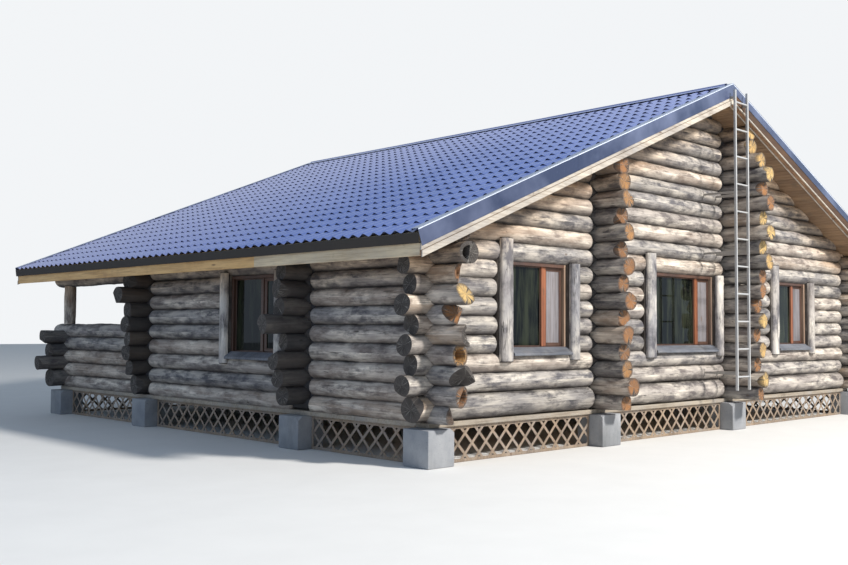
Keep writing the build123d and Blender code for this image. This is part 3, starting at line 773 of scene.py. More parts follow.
def packing(way, middle, face, inward, z0, z1):
    """Hewn block inside the wall behind a column of crossing logs, painted dark as shade."""
    depth = span(face, inward, 0.105, 0.17)
    block = wall_block(way, middle - 0.22, middle + 0.22, depth, z0, z1)
    spot = (middle, sum(depth) / 2)
    grain_marks(block, 'Z', *(spot if way == 'X' else spot[::-1]), 0.02, 0.0, (), 1.0)
    return block


def flat_backs(openings, face, inward, way, heights, before, after):
    """Hewn flats beside the windows, where the side posts stand."""
    blocks = []
    z0, z1 = heights
    for a, b in openings:
        for low, high in ((a - before - 0.012, a), (b, b + after + 0.012)):
            block = wall_block(way, low, high, span(face, inward, 0.012, 0.225), z0 - 0.02,
                               z1 + 0.02)
            grain_marks(block, way, face + inward * AXIS, (z0 + z1) / 2, 0.12, 0.1, (low, high))
            blocks.append(block)
    return blocks


def x_wall(face, inward, left_ends, right_ends, holes_of, courses, way_in=None, columns=(),
           end_weather_and_shade=0.0):
    """Logs along X of one wall, from low to high; way_in (x0, x1, z) is cut into the first.
    At the columns of crossing logs the round of each log is cut back and eased."""
    low_z = x_log_z(courses[0]) - HALF * 0.5
    pieces = [packing('X', c, face, inward, low_z,
                      min(x_log_z(courses[-1]) + 0.10, soffit_z(c) - 0.14))
              for c in columns if soffit_z(c) - 0.14 > low_z + 0.1]
    side = face + inward * AXIS
    necks = [(c - NECK, c + NECK) for c in columns]
    necks += [(AXIS, CORNER), (HOUSE_W - CORNER, HOUSE_W - AXIS)]
    for k in courses:
        z, size = x_log_z(k), log_size()
        if k == 0:
            z, size = FOOT_LOG
        reach = (soffit_z(RIDGE) - (z - COURSE / 2)) / SLOPE
        left_open, right_open = RIDGE - reach > 0, RIDGE + reach < HOUSE_W
        left, right = left_ends[k % len(left_ends)], right_ends[k % len(right_ends)]
        x0 = RIDGE - reach if left_open else -left
        x1 = RIDGE + reach if right_open else HOUSE_W + right
        runs = broken_runs(x0, x1, holes_of(k))
        if k == 0 and way_in:
            runs = list(pairs((x0, way_in[0], way_in[1], x1)))
        pieces += cores('X', runs, 0.1, HOUSE_W - 0.1, side, z)
        for low, high in necked(runs, necks):
            cuts = []
            if k == 0:
                cuts.append(FOOT_CUT)
                if way_in and low == way_in[0]:
                    cuts.append((Vector((0, 0, way_in[2])), UP))
            if low == x0 and not left_open:
                cuts += end_cuts('X', x0, side, z, -1, stub_kind(left))
            if high == x1 and not right_open:
                cuts += end_cuts('X', x1, side, z, 1, stub_kind(right))
            if z + size > min(soffit_z(x0), soffit_z(x1)):
                cuts += roof_cuts('X', side)
            eased = [end for end in (low, high)
                     if end not in (x0, x1, AXIS, HOUSE_W - AXIS) and not (k == 0 and way_in)]
            # Stubs beyond the corners are darkened: partly weathering, partly painted shade.
            outside = high <= AXIS or low >= HOUSE_W - AXIS
            pieces.append(log_bar('X', low, high, side + random.uniform(-.004, .004), z,
                                  size, cuts, eased=eased,
                                  weather_and_shade=end_weather_and_shade * random.uniform(0.85, 1.0) if outside else 0.0))
    return pieces


def y_wall(face, inward, front_ends, back_ends, run_to, holes_of, courses, worked_ends=None):
    """Logs along Y of one wall. worked_ends: course -> (fresh, hollow, leans of its axe cuts)."""
    pieces = [packing('Y', CROSS_Y, face, inward, BASE + 0.03, y_log_z(courses[-1]))]
    side = face + inward * AXIS
    necks = [(AXIS, CORNER), (CROSS_Y - NECK, CROSS_Y + NECK),
             (HOUSE_L - AXIS - NECK, HOUSE_L - AXIS + NECK)]
    for j in courses:
        z, size = y_log_z(j), log_size()
        y0 = -front_ends[j % len(front_ends)]
        far = run_to(j)
        y1 = far + back_ends[j % len(back_ends)]
        if z > soffit_z(side):
            y0, y1 = 0.0, far
        raw, hollow, leans = (worked_ends or {}).get(j, (0.15, 0.0, None))
        runs = broken_runs(y0, y1, holes_of(j))
        pieces += cores('Y', runs, 0.1, HOUSE_L - 0.1, side, z)
        for low, high in necked(runs, necks):
            cuts = []
            at_front = low == y0 and y0 < 0
            if at_front and leans:
                cuts += axe_cuts(y0, side, z, leans)
            elif at_front:
                cuts += end_cuts('Y', y0, side, z, -1, random.choice((1, 1, 2)))
            if high == y1 and y1 > far:
                cuts += end_cuts('Y', y1, side, z, 1, stub_kind(0.3))
            if z + size > min(soffit_z(side - 0.15), soffit_z(side + 0.15)):
                cuts += roof_cuts('Y', side)
            if j == 0:
                cuts.append(FOOT_CUT)
            eased = [end for end in (low, high) if end not in (y0, y1, AXIS)]
            pieces.append(log_bar('Y', low, high, side + random.uniform(-.004, .004), z,
                                  size, cuts, fresh=raw, hollow=hollow if at_front else 0.0,
                                  eased=eased))
    return pieces


def window_holes(openings, before, after):
    """Tells for each course which stretches of the wall its windows take up."""
    return lambda k: [(a - before, b + after) for a, b in openings
                      if k in WINDOW_COURSES]


def back_holes(k):
    door = [DOOR] if k in DOOR_COURSES else []
    return window_holes(BACK_WINDOWS, 0.203, 0.238)(k) + door


no_holes = window_holes((), 0, 0)
front_holes = window_holes(WINDOWS, 0.238, 0.203)
side_holes = window_holes((SIDE_WINDOW,), 0.183, 0.183)
WALL, GABLE = range(9), range(9, 20)
hewn("front_wall_logs", x_wall(0, 1, ENDS_A, ENDS_R, front_holes, WALL, columns=CROSS_X)
     + flat_backs(WINDOWS, 0.0, 1, 'X', WIN_Z, 0.225, 0.190), LOG_SKIN, "front_wall")
hewn("front_gable_logs", x_wall(0, 1, ENDS_A, ENDS_R, no_holes, GABLE, columns=CROSS_X),
     LOG_SKIN, "front_gable")
hewn("terrace_wall_logs",
     x_wall(HOUSE_L, -1, ENDS_D, ENDS_R[::-1], back_holes, WALL, (*DOOR, FLOOR_TOP),
            end_weather_and_shade=0.95)
     + flat_backs(BACK_WINDOWS, HOUSE_L, -1, 'X', WIN_Z, 0.190, 0.225), LOG_WARM,
     "terrace_wall", slot="sheltered_log")
hewn("terrace_gable_logs", x_wall(HOUSE_L, -1, ENDS_D, ENDS_R[::-1], no_holes, GABLE),
     LOG_WARM, "terrace_gable", slot="sheltered_log")
hewn("terrace_rail_logs",
     x_wall(FULL_L, -1, ENDS_E, ENDS_E, lambda k: [GATE] if k else [], range(4),
            (*GATE, DECK_TOP), end_weather_and_shade=0.7), LOG_SKIN, "terrace_rail")
hewn("terrace_tie_beam_log", x_wall(FULL_L, -1, ENDS_E, ENDS_E, no_holes, (8,)), LOG_SKIN,
     "terrace_tie_beam")
# Front ends of the left wall's logs: how fresh, how hollow, and their axe cuts
LEFT_ENDS = {
    0: (0.1, 0.00, ((0.9, 0.4, 0.04),)),
    1: (0.5, 0.16, ((0.25, -0.15, 0.02),)),
    2: (0.0, 0.00, ((0.50, 0.55, 0.03), (-0.9, -0.9, 0.10))),
    3: (0.8, 0.20, ((0.05, 0.05, 0.01),)),
    4: (0.0, 0.05, ((1.15, 0.25, 0.03),)),
    5: (0.7, 0.13, ((0.80, -0.45, 0.03), (-0.7, 0.9, 0.09))),
    6: (1.0, 0.00, ((0.0, 0.70, 0.05),)),
    7: (0.6, 0.07, ((1.05, -0.30, 0.03),)),
    8: (0.0, 0.15, ((-0.30, 0.05, 0.01),)),
}
hewn("left_wall_logs",
     y_wall(0, 1, ENDS_B, ENDS_E, lambda j: FULL_L if j < 5 or j >= 8 else HOUSE_L, side_holes,
            range(10), LEFT_ENDS)
     + flat_backs((SIDE_WINDOW,), 0.0, 1, 'Y', SIDE_WIN_Z, 0.170, 0.170), LOG_SKIN,
     "left_wall")
hewn("right_wall_logs",
     y_wall(HOUSE_W, -1, ENDS_B[::-1], ENDS_E, lambda j: FULL_L if j < 5 or j >= 9 else HOUSE_L,
            side_holes, range(12))
     + flat_backs((SIDE_WINDOW,), HOUSE_W, -1, 'Y', SIDE_WIN_Z, 0.170, 0.170), LOG_SKIN,
     "right_wall")

# Ends of the cross walls, which start a little inside the wall
INSIDE = 0.22
cross = []
for x, lengths in zip(CROSS_X, (ENDS_P2, ENDS_P3)):
    for j, reach in enumerate(lengths):
        z, size = y_log_z(j), log_size()
        cuts = end_cuts('Y', -reach, x, z, -1, random.choice((0, 1, 2)))
        if j == 0:
            cuts.append(FOOT_CUT)
        if z + size > soffit_z(x - 0.2):
            cuts += roof_cuts('Y', x)
        cross.append(log_bar('Y', -reach, INSIDE, x, z, size, cuts, ring=0.08,
                             fresh=random.choice((0.7, 0.9, 1.0)) * (1.0 if x > 6 else 0.75)))
hewn("front_cross_log_ends", cross, LOG_SKIN, "cross_wall_ends_front")
for name, node, face, out, count in (
        ("left_cross_log_ends", "cross_wall_ends_left", 0.0, -1, 9),
        ("right_cross_log_ends", "cross_wall_ends_right", HOUSE_W, 1, 10)):
    cross = []
    for k in range(count):
        z, size = x_log_z(k), log_size()
        tip = face + out * ENDS_C[k]
        cuts = end_cuts('X', tip, CROSS_Y, z, out, stub_kind(ENDS_C[k]))
        if z + size > soffit_z(tip):
            cuts += roof_cuts('X', CROSS_Y)
        # Near-black stubs: partly weathering, partly painted shade.
        cross.append(log_bar('X', *sorted((tip, face - out * INSIDE)), CROSS_Y, z, size, cuts,
                             ring=0.08, weather_and_shade=random.uniform(0.82, 1.0)))
    hewn(name, cross, LOG_SKIN, node)


# Roof: tile-formed sheets, capping and flashings

TILE_W, TILE_L = 0.183, 0.350
LEAN = math.atan(SLOPE)
GAP = 0.0015        # half of an open joint
EAVE_OUT = 0.05
slope_length = (RUN + EAVE_OUT) / math.cos(LEAN)
roof_length = VERGE_B - VERGE_F


def tile_form():
    """One tile of the pressed sheet: a wave across and a step at its lower edge."""
    nothing_selected()
    bpy.ops.mesh.primitive_grid_add(x_subdivisions=10, y_subdivisions=2, size=1)
    tile = bpy.context.object
    tile.scale = (TILE_W, TILE_L, 1)
    tile.location = (TILE_W / 2, TILE_L / 2, 0)
    settle(tile)
    start_edit(tile)
    wave = [(TILE_W * i / 10, 0.5 - 0.5 * math.cos(2 * math.pi * i / 10)) for i in range(11)]
    for at, crest in wave:
        for part in (0.0, 0.5, 1.0):
            choose(tile, 'VERT', lambda v: abs(v.co.x - at) < 0.002
                   and abs(v.co.y - TILE_L * part) < 0.002)
            lift = 0.022 * crest ** 0.62 + (0.001 + 0.019 * crest ** 2.0) * (1 - part)
            bpy.ops.transform.translate(value=(0, 0, lift))
    choose(tile, 'EDGE', lambda e: all(abs(v.co.y) < 0.002 for v in e.verts))
    bpy.ops.mesh.extrude_edges_move(TRANSFORM_OT_translate={"value": (0, 0.004, -0.001)})
    for at, crest in wave:
        choose(tile, 'VERT', lambda v: abs(v.co.x - at) < 0.002 and abs(v.co.y - 0.004) < 0.001)
        bpy.ops.transform.translate(value=(0, 0, -0.019 * crest ** 2.0))
    # The riser faces of each step take the darker step paint: painted shade under the step.
    choose(tile, 'FACE', lambda f: f.calc_center_median().y < 0.003
           and abs(f.normal.y) > 0.4 or f.calc_area() < 0.0002)
    skinned(tile, TILE_SHEET, TILE_STEP_SHADE)
    tile.active_material_index = 1
    bpy.ops.object.material_slot_assign()
    end_edit()
    return tile


def on_slope(piece, side, out, inset, lift):
    """Turns a flat piece (x along the eave, y up the slope) onto one half of the roof."""
    piece.rotation_euler = (LEAN, 0, side * QUARTER)
    x = RIDGE + side * out
    piece.location = (x, VERGE_B - inset if side < 0 else VERGE_F + inset, verge_z(x) + lift)
    return settle(piece)


def sloped_board(x_from, x_to, y0, y1, low, high, round_over=0.003):
    """Board that runs up the verge on one half of the roof, plumb at both ends."""
    a, b = sorted((x_from, x_to))
    half = (high - low) / 2
    piece = timber(a, b, y0, y1, -half, half, 0.0)
    start_edit(piece)
    for end, x in ((-1, a), (1, b)):
        choose(piece, 'VERT', lambda v: (v.co.x - (a + b) / 2) * end > 0)
        bpy.ops.transform.translate(value=(0, 0, verge_z(x) + (low + high) / 2))
    ease_edges(round_over)
    end_edit()
    return piece


for side, name, node in ((-1, "left_tile_sheets", "roof_sheet_left"),
                         (1, "right_tile_sheets", "roof_sheet_right")):
    sheets = tile_form()
    for length, step in ((roof_length / TILE_W, (TILE_W, 0, 0)),
                         (slope_length / TILE_L, (0, TILE_L, 0))):
        repeated(sheets, int(length) + 1, step, use_merge_vertices=True,
                 merge_threshold=0.0008)
    start_edit(sheets)
    slice_off((roof_length - 0.002, 0, 0), (1, 0, 0), fill=False)
    slice_off((0, slope_length - 0.030, 0), (0, 1, 0), fill=False)
    end_edit()
    on_slope(sheets, side, RUN + EAVE_OUT - 0.017, 0.0, SHEET_LOW - 0.004)
    placed([smooth(sheets, 50)], name, "roof_tile_sheet", (node,))

# Ridge cap in lengths that overlap
CAP_LENGTHS = 6
cap_z = verge_z(RIDGE) + SHEET_LOW + 0.030
wing, roll = 0.165, 0.062
cap_line = [(-wing, -SLOPE * wing + 0.012), (-roll, -SLOPE * roll + 0.016)]
cap_line += [(-0.055 * math.cos(math.pi * i / 10),
              0.055 * math.sin(math.pi * i / 10) * 0.55 - 0.004) for i in range(11)]
cap_line += [(-a, b) for a, b in cap_line[1::-1]]
cap_step = (roof_length - 0.22) / CAP_LENGTHS
caps = []
for i in range(CAP_LENGTHS):
    y0 = VERGE_F + 0.11 + i * cap_step
    line = [(RIDGE + a, cap_z + b + 0.0015 * (i % 2)) for a, b in cap_line]
    overlap = 0.04 if i < CAP_LENGTHS - 1 else 0
    caps.append(bent_sheet(line, y0, y0 + cap_step + overlap, 0.0012))
placed([smooth(cap, 35) for cap in caps], "ridge_capping", "roof_tile_sheet", ("ridge_cap",),
       TILE_SHEET)

# Verge boards: a wide board over a narrow one, in lengths with butt joints, and behind
# the narrow board a trim under the soffit with its batten
for side, name, node in ((-1, "left_verge_boards", "verge_boards_left"),
                         (1, "right_verge_boards", "verge_boards_right")):
    boards = []
    wide = 0.085 if side < 0 else 0.045
    for face, inward in ((VERGE_F, 1), (VERGE_B, -1)):
        thick, outer = span(face, inward, 0.0, 0.024), span(face, inward, -0.018, 0.0)
        trim = span(face, inward, 0.026, 0.026 + wide)
        batten = span(face, inward, 0.027 + wide, 0.045 + wide)
        # On the right half the pale lower strip of the narrow board is a painted highlight along
        # its lit lower edge, and the dark boards above it are browner wood with painted shade;
        # the pale batten on both halves is a painted highlight along its lower edge.
        narrow = [(outer, -0.018, 0.056, OLD_BOARD)]
        if side > 0:
            narrow = [(outer, 0.0, 0.026, OLD_BOARD), (outer, 0.027, 0.056, DARK_BOARD)]
        narrow.append((thick, 0.0, 0.056, SIDE_BOARD))
        under = [(trim, -0.001, 0.019, SIDE_BOARD), (batten, -0.016, 0.019, OLD_BOARD)]
        broad = [(thick, 0.059, SHEET_LOW, OLD_BOARD if side < 0 else DARK_BOARD)]
        for stops, rows in (((0.0, 0.38, 0.72, 1.0), ((broad, 0.0),)),
                            ((0.0, 0.55, 1.0), ((narrow, 0.0), (under, 0.04)))):
            for s, t in pairs(stops):
                a, b = RIDGE + side * (RUN * s + GAP), RIDGE + side * (RUN * t - GAP)
                for strips, short in rows:
                    for depth, low, high, skin in strips:
                        board = sloped_board(a, b - side * short, *depth, low, high)
                        boards.append(skinned(board, skin))
    placed(boards, name, "old_board", (node,))

# Verge flashings: sheet, hem and turned-in top, with a pale strip along the top edge as a painted
# highlight, in lengths that overlap
far = RUN + EAVE_OUT
for side, name, node in ((-1, "left_verge_flashing", "verge_flashings_left"),
                         (1, "right_verge_flashing", "verge_flashings_right")):
    sheets, lip_highlights = [], []
    hem = 0.108 if side < 0 else 0.175
    for face, out in ((VERGE_F, -1), (VERGE_B, 1)):
        for i, (s, t) in enumerate(pairs((0.0, 0.29, 0.58, 0.87, 1.0))):
            a, b = RIDGE + side * far * s, RIDGE + side * min(far, far * t + 0.03)
            lap = 0.0012 * (i % 2)
            skin = span(face, out, 0.001 + lap, 0.004 + lap)
            top = SHEET_LOW + 0.044
            for depth, low, high, ease in (
                    (skin, hem, SHEET_LOW + 0.028, 0.001),
                    (span(face, out, 0.0, 0.008), hem - 0.004, hem + 0.006, 0.003),
                    (span(face, out, 0.008, -0.108), top - 0.004 + lap, top + lap, 0.001),
                    (span(face, out, -0.100, -0.108), SHEET_LOW + 0.024, top, 0.001)):
                sheets.append(skinned(sloped_board(a, b, *depth, low, high, ease),
                                      VERGE_SHEET))
            lip_highlights.append(skinned(sloped_board(a, b, *skin, SHEET_LOW + 0.0282,
                                             SHEET_LOW + 0.046, 0.001), VERGE_LIP_HIGHLIGHT))
    whole = joined("flashing", sheets + lip_highlights)
    start_edit(whole)
    slice_off(Vector((RIDGE + side * (RUN + 0.004), 0, EAVE_Z + 0.150)),
              Vector((side, 0, -0.36)).normalized())
    end_edit()
    placed([whole], name, "verge_metal", (node,))

# Eave boards and the dark sheet over them
JOINT_Y = 2.7
for name, node, side, y0, y1, slot, finish in (
        ("grey_eave_board", "eave_board_left_front", -1, VERGE_F + .025, JOINT_Y, "old_board",
         GREY_BOARD),
        ("new_eave_board", "eave_board_left_rear", -1, JOINT_Y, VERGE_B - .025, "new_board",
         NEW_BOARD),
        ("right_eave_board", "eave_board_right", 1, VERGE_F + .025, VERGE_B - .025, "old_board",
         GREY_BOARD)):
    board = timber(*span(RIDGE, side, RUN - 0.025, RUN), y0 + 0.001, y1 - 0.001, EAVE_Z,
                   EAVE_Z + 0.268)
    placed([board], name, slot, (node,), finish)

flash = []
for side in (-1, 1):
    edge = RIDGE + side * (RUN + 0.047)
    line = [(RIDGE + side * (RUN + out), EAVE_Z + up) for out, up in
            ((0.001, 0.152), (0.001, 0.141), (0.030, 0.137), (0.034, 0.150))]
    line.append((edge, verge_z(edge) + SHEET_LOW - 0.004))
    sixth = (roof_length - 0.004) / 6
    for i in range(6):
        y0 = VERGE_F + 0.002 + i * sixth
        flash.append(bent_sheet([(a + side * 0.0008 * (i % 2), b) for a, b in line], y0,
                                min(y0 + sixth + 0.03, VERGE_B - 0.002), 0.001))
placed([smooth(sheet, 30) for sheet in flash], "eave_flashing_sheets", "dark_flashing",
       ("eave_flashings",), DARK_SHEET)

# Soffit boards run level, side by side up the slope
SOFFIT_STEP = 0.1
for side, name, node in ((-1, "left_soffit", "soffit_boards_left"),
                         (1, "right_soffit", "soffit_boards_right")):
    board = timber(0, roof_length - 0.054, GAP, SOFFIT_STEP - GAP, 0.001, 0.024)
    repeated(board, int((RUN - 0.03) / math.cos(LEAN) / SOFFIT_STEP), (0, SOFFIT_STEP, 0))
    on_slope(board, side, RUN - 0.026, 0.027, SOFFIT)
    placed([board], name, "soffit_board", (node,), SOFFIT_BOARD)

# Purlins
PURLIN_R = 0.110
PURLINS_X = (RIDGE - 2.8, RIDGE, RIDGE + 2.8)


def purlin_z(x):
    return soffit_z(x) - PURLIN_R / math.cos(LEAN) + 0.012


logs = []
for x in PURLINS_X:
    z, end = purlin_z(x), VERGE_B - 0.12
    logs.append(log_bar('Y', 0.245, end, x, z, PURLIN_R, end_cuts('Y', end, x, z, 1, 0)
                        + (roof_cuts('X', 0) if x == RIDGE else roof_cuts('Y', x))))
hewn("purlin_logs", logs, LOG_WARM, "roof_purlins", slot="sheltered_log")

# Rafters between the soffit and the sheets
RAFTERS = 11
first, last = VERGE_F + 0.025, VERGE_B - 0.025
for side, name, node in ((-1, "left_rafters", "rafters_left"),
                         (1, "right_rafters", "rafters_right")):
    beams = []
    for i in range(RAFTERS):
        y = first + (last - first - 0.05) * i / (RAFTERS - 1)
        beams.append(sloped_board(RIDGE + side * 0.001, RIDGE + side * (RUN - 0.026), y + 0.001,
                                  y + 0.049, SOFFIT + SOFFIT_T + 0.001, SHEET_LOW - 0.012))
    placed(beams, name, "soffit_board", (node,), NEW_BOARD)

# Piers, with a few chipped corners
PIER, PIER_TOP = 0.43, 0.4385
pier_spots = [(x, y) for y in (0.05, HOUSE_L - 0.32, FULL_L - PIER / 2)
              for x in (0.05, CROSS_X[0], CROSS_X[1], HOUSE_W - 0.05)]
pier_spots += [(0.05, CROSS_Y), (HOUSE_W - 0.05, CROSS_Y)]
blocks = []
for x, y in pier_spots:
    block = timber(*span(x, 1, -PIER / 2, PIER / 2), *span(y, 1, -PIER / 2, PIER / 2), 0.0,
                   PIER_TOP, 0.012, 2)
    start_edit(block)
    for _ in range(2):
        a, b = random.choice((-1, 1)), random.choice((-1, 1))
        lean = Vector((a, b, random.uniform(0.4, 1.6))).normalized()
        corner = Vector((x + a * PIER / 2, y + b * PIER / 2, PIER_TOP))
        slice_off(corner - lean * random.uniform(0.022, 0.045), lean)
    end_edit()
    blocks.append(block)
placed([smooth(block, 35) for block in blocks], "pier_blocks", "pier_concrete",
       ("foundation_piers",), CONCRETE)

# Sill planks between piers and logs
planks = []
for y in (0.0, HOUSE_L - 0.24, FULL_L - 0.24):
    for a, b in pairs((0.02, 3.386, 6.92, HOUSE_W - 0.02)):
        planks.append(timber(a + 0.001, b - 0.001, y + 0.02, y + 0.22, 0.44, 0.499))
for x in (0.0, HOUSE_W - 0.24):
    for a, b in pairs((0.221, 2.5, HOUSE_L - 0.221, FULL_L - 0.221)):
        planks.append(timber(x + 0.02, x + 0.22, a + 0.001, b - 0.001, 0.44, 0.499))
placed(planks, "sill_plank_ring", "trim_timber", ("sill_planks",), PLANK)

# Floor and deck boards
inner = (0.24, HOUSE_W - 0.24)
FLOOR_STEP = 0.109
board = timber(*inner, 0.2415, 0.3485, 0.661, FLOOR_TOP, 0.003)
repeated(board, int((HOUSE_L - 0.48) / FLOOR_STEP), (0, FLOOR_STEP, 0))
placed([board], "floor_board_rows", "deck_timber", ("floor_boards",), FLOOR)

DECK_ROWS, DECK_STEP, DECK_BOARD = 22, 0.1245, 0.119
rows = []
for i in range(DECK_ROWS):
    y = HOUSE_L + 0.004 + i * DECK_STEP
    joint = 5.3 + 0.8 * (i % 3)
    for a, b in ((inner[0] + 0.002, joint - GAP), (joint + GAP, inner[1] - 0.002)):
        rows.append(timber(a, b, y, y + DECK_BOARD, 0.652, DECK_TOP))
placed(rows, "deck_board_rows", "deck_timber", ("terrace_deck",), DECK)

# Steps to the terrace: three stringers, two boards to a tread
RISE, TREAD = DECK_TOP / 4, 0.26
outline = [(FULL_L + 0.002, 0.0), (FULL_L + 3 * TREAD, 0.0)]
treads = [(FULL_L + (3 - i) * TREAD, (i + 1) * RISE) for i in range(3)]
for i, (y, z) in enumerate(treads):
    outline += [(y, z - 0.04), (y - TREAD + (0.002 if i == 2 else 0), z - 0.04)]
steps = [drawn(outline, 'X', [x, x + 0.048]) for x in (5.551, 6.176, 6.801)]
for y, z in treads:
    for a, b in ((y - TREAD + 0.003, y - 0.122), (y - 0.117, y + 0.019)):
        steps.append(timber(5.531, 6.869, a, b, z - 0.039, z, 0.006, 2))
placed(steps, "terrace_step_boards", "deck_timber", ("terrace_steps",), DECK)


# Lattice skirting: two layers of laths in a light frame

LATH_STEP = 0.25


def lattice_panel(length):
    """Panel facing the front, from x 0 to its length and from the ground to the sill plank."""
    layers = []
    for lean, y0 in ((1, 0.0004), (-1, 0.0061)):
        lath = timber(-0.018, 0.018, y0, y0 + 0.0055, -0.40, 0.40, 0.0)
        lath.rotation_euler = (0, lean * math.pi / 4, 0)
        lath.location = (0.04, 0, 0.22)
        layers.append(repeated(settle(lath), int(length / LATH_STEP) + 2, (LATH_STEP, 0, 0)))
    laths = joined("laths", layers)
    start_edit(laths)
    for point, normal in (((0.02, 0, 0), (-1, 0, 0)), ((length - 0.02, 0, 0), (1, 0, 0)),
                          ((0, 0, 0.015), DOWN), ((0, 0, 0.425), UP)):
        slice_off(point, normal)
    end_edit()
    rails = [timber(x0, x1, 0.0, 0.012, z0, z1, 0.002) for x0, x1, z0, z1 in (
        (0.001, length - 0.001, 0.001, 0.040), (0.001, length - 0.001, 0.400, 0.4395),
        (0.001, 0.040, 0.0405, 0.3995), (length - 0.040, length - 0.001, 0.0405, 0.3995))]
    return joined("panel", [laths] + rails)


x_spans = ((0.265, 3.171), (3.601, 6.705), (7.135, 11.265))
y_spans = ((0.265, 2.285), (2.715, 6.345), (6.775, 9.440))
for name, node, spots in (
        ("front_lattice", "lattice_front", [(a, b, (a, 0.060, 0)) for a, b in x_spans]),
        ("back_lattice", "lattice_back", [(a, b, (b, 9.810, 2 * QUARTER)) for a, b in x_spans]),
        ("left_lattice", "lattice_left", [(a, b, (0.060, b, -QUARTER)) for a, b in y_spans]),
        ("right_lattice", "lattice_right", [(a, b, (11.470, a, QUARTER)) for a, b in y_spans])):
    panels = [turned_to(lattice_panel(b - a), spot) for a, b, spot in spots]
    placed(panels, name, "lattice_wood", (node,), LATH)


# Windows

JAMB, VENT, MULLION, BEAD = 0.045, 0.38, 0.062, 0.014


def window_parts(w0, w1, z0, z1, flip, aside):
    """Frame, sash, beads and panes of one window that faces the front."""
    left, right = w0 + JAMB, w1 - JAMB
    low, high = z0 + 0.085, z1 - JAMB
    wood = [timber(*box, 0.003) for box in (
        (w0 + 0.001, left, 0.050, 0.200, z0 + 0.001, z1 - 0.001),
        (right, w1 - 0.001, 0.050, 0.200, z0 + 0.001, z1 - 0.001),
        (left, right, 0.051, 0.199, high, z1 - 0.001),
        (left, right, 0.051, 0.199, z0 + 0.001, low))]
    if flip:
        edge = left + VENT
        mullion, fixed, vent = (edge, edge + MULLION), (edge + MULLION, right), (left, edge)
    else:
        edge = right - VENT
        mullion, fixed, vent = (edge - MULLION, edge), (left, edge - MULLION), (edge, right)
    sash = [timber(*mullion, 0.080, 0.199, low, high)]
    v0, v1, s0, s1 = vent[0] + GAP, vent[1] - GAP, low + GAP, high - GAP
    # The stile beside the mullion takes the sunlit sash paint, the stile beside the jamb the
    # shaded frame paint.
    stiles = [timber(x0, x1, 0.095, 0.150, s0, s1)
              for x0, x1 in ((v0, v0 + 0.048), (v1 - 0.034, v1))][::-1 if flip else 1]
    sash.append(stiles[0])
    wood.append(stiles[1])
    for a, b in ((s0, s0 + 0.034), (s1 - 0.034, s1)):
        wood.append(timber(v0 + 0.048, v1 - 0.034, 0.095, 0.150, a, b))
    board = timber(v0 + 0.040, v1 - 0.030, 0.106, 0.111, s0 + 0.030, s1 - 0.030, 0.001)
    glass = []
    for (x0, x1), (a, b) in ((fixed, (low, high)),
                             ((v0 + 0.047, v1 - 0.033), (s0 + 0.033, s1 - 0.033))):
        for m, n, c, d in ((x0, x0 + BEAD, a, b), (x1 - BEAD, x1, a, b),
                           (x0 + BEAD, x1 - BEAD, a, a + BEAD),
                           (x0 + BEAD, x1 - BEAD, b - BEAD, b)):
            wood.append(timber(m, n, 0.098, 0.1115, c, d, 0.003))
        glass.append(timber(x0 + 0.001, x1 - 0.001, 0.112, 0.124, a + 0.001, b - 0.001, 0.0))
    for part in wood:
        skinned(part, SHADED_FRAME_WOOD)
    if not aside:
        wood[0 if flip else 1].data.materials[0] = REVEAL
    # Side windows take the shaded copy for their sash as well.
    for part in sash:
        skinned(part, SHADED_FRAME_WOOD if aside else SUNLIT_SASH_WOOD)
    return joined("frame", wood + sash), joined("panes", glass), board


def sill_shape(w0, w1, z0):
    """Thick sill with a rounded nose and a drip groove below."""
    line = [(y, z0 + up) for y, up in (
        (0.050, 0.0), (0.050, 0.079), (-0.058, 0.010), (-0.066, 0.003), (-0.0695, -0.008),
        (-0.0695, -0.024), (-0.064, -0.030), (-0.052, -0.027), (-0.050, -0.018),
        (-0.044, -0.018), (-0.042, -0.024), (0.0, -0.006), (0.0, 0.0))]
    return smooth(drawn(line, 'X', [w0 + 0.001, w1 - 0.001]), 30)


def half_round(w0, w1, z0, z1):
    """Post beside a window: a split log with its round side out."""
    w, middle = (w1 - w0) / 2 - 0.002, (w0 + w1) / 2
    line = [(middle - w, -0.001)]
    line += [(middle - w * math.cos(math.pi * i / 12),
              -0.026 - 0.055 * math.sin(math.pi * i / 12)) for i in range(13)]
    line.append((middle + w, -0.001))
    low, high = z0 + 0.07, z1 - 0.07
    count = max(1, round((high - low) / 0.09))
    post = drawn(line, 'Z', [z0, z0 + 0.012]
                 + [low + (high - low) * i / count for i in range(count + 1)]
                 + [z1 - 0.012, z1])
    start_edit(post)
    for z in (z0, z1):
        choose(post, 'VERT', lambda v: abs(v.co.z - z) < 0.001)
        bpy.ops.transform.resize(value=(0.94, 0.90, 1), center_override=(middle, 0, z))
    end_edit()
    uneven(post, "worked post", 0.25, 0.010)
    smooth(post, 35)
    grain_marks(post, 'Z', middle, -0.03, 0.05, 0.0)
    return skinned(post, CASING, LOG_CUT)


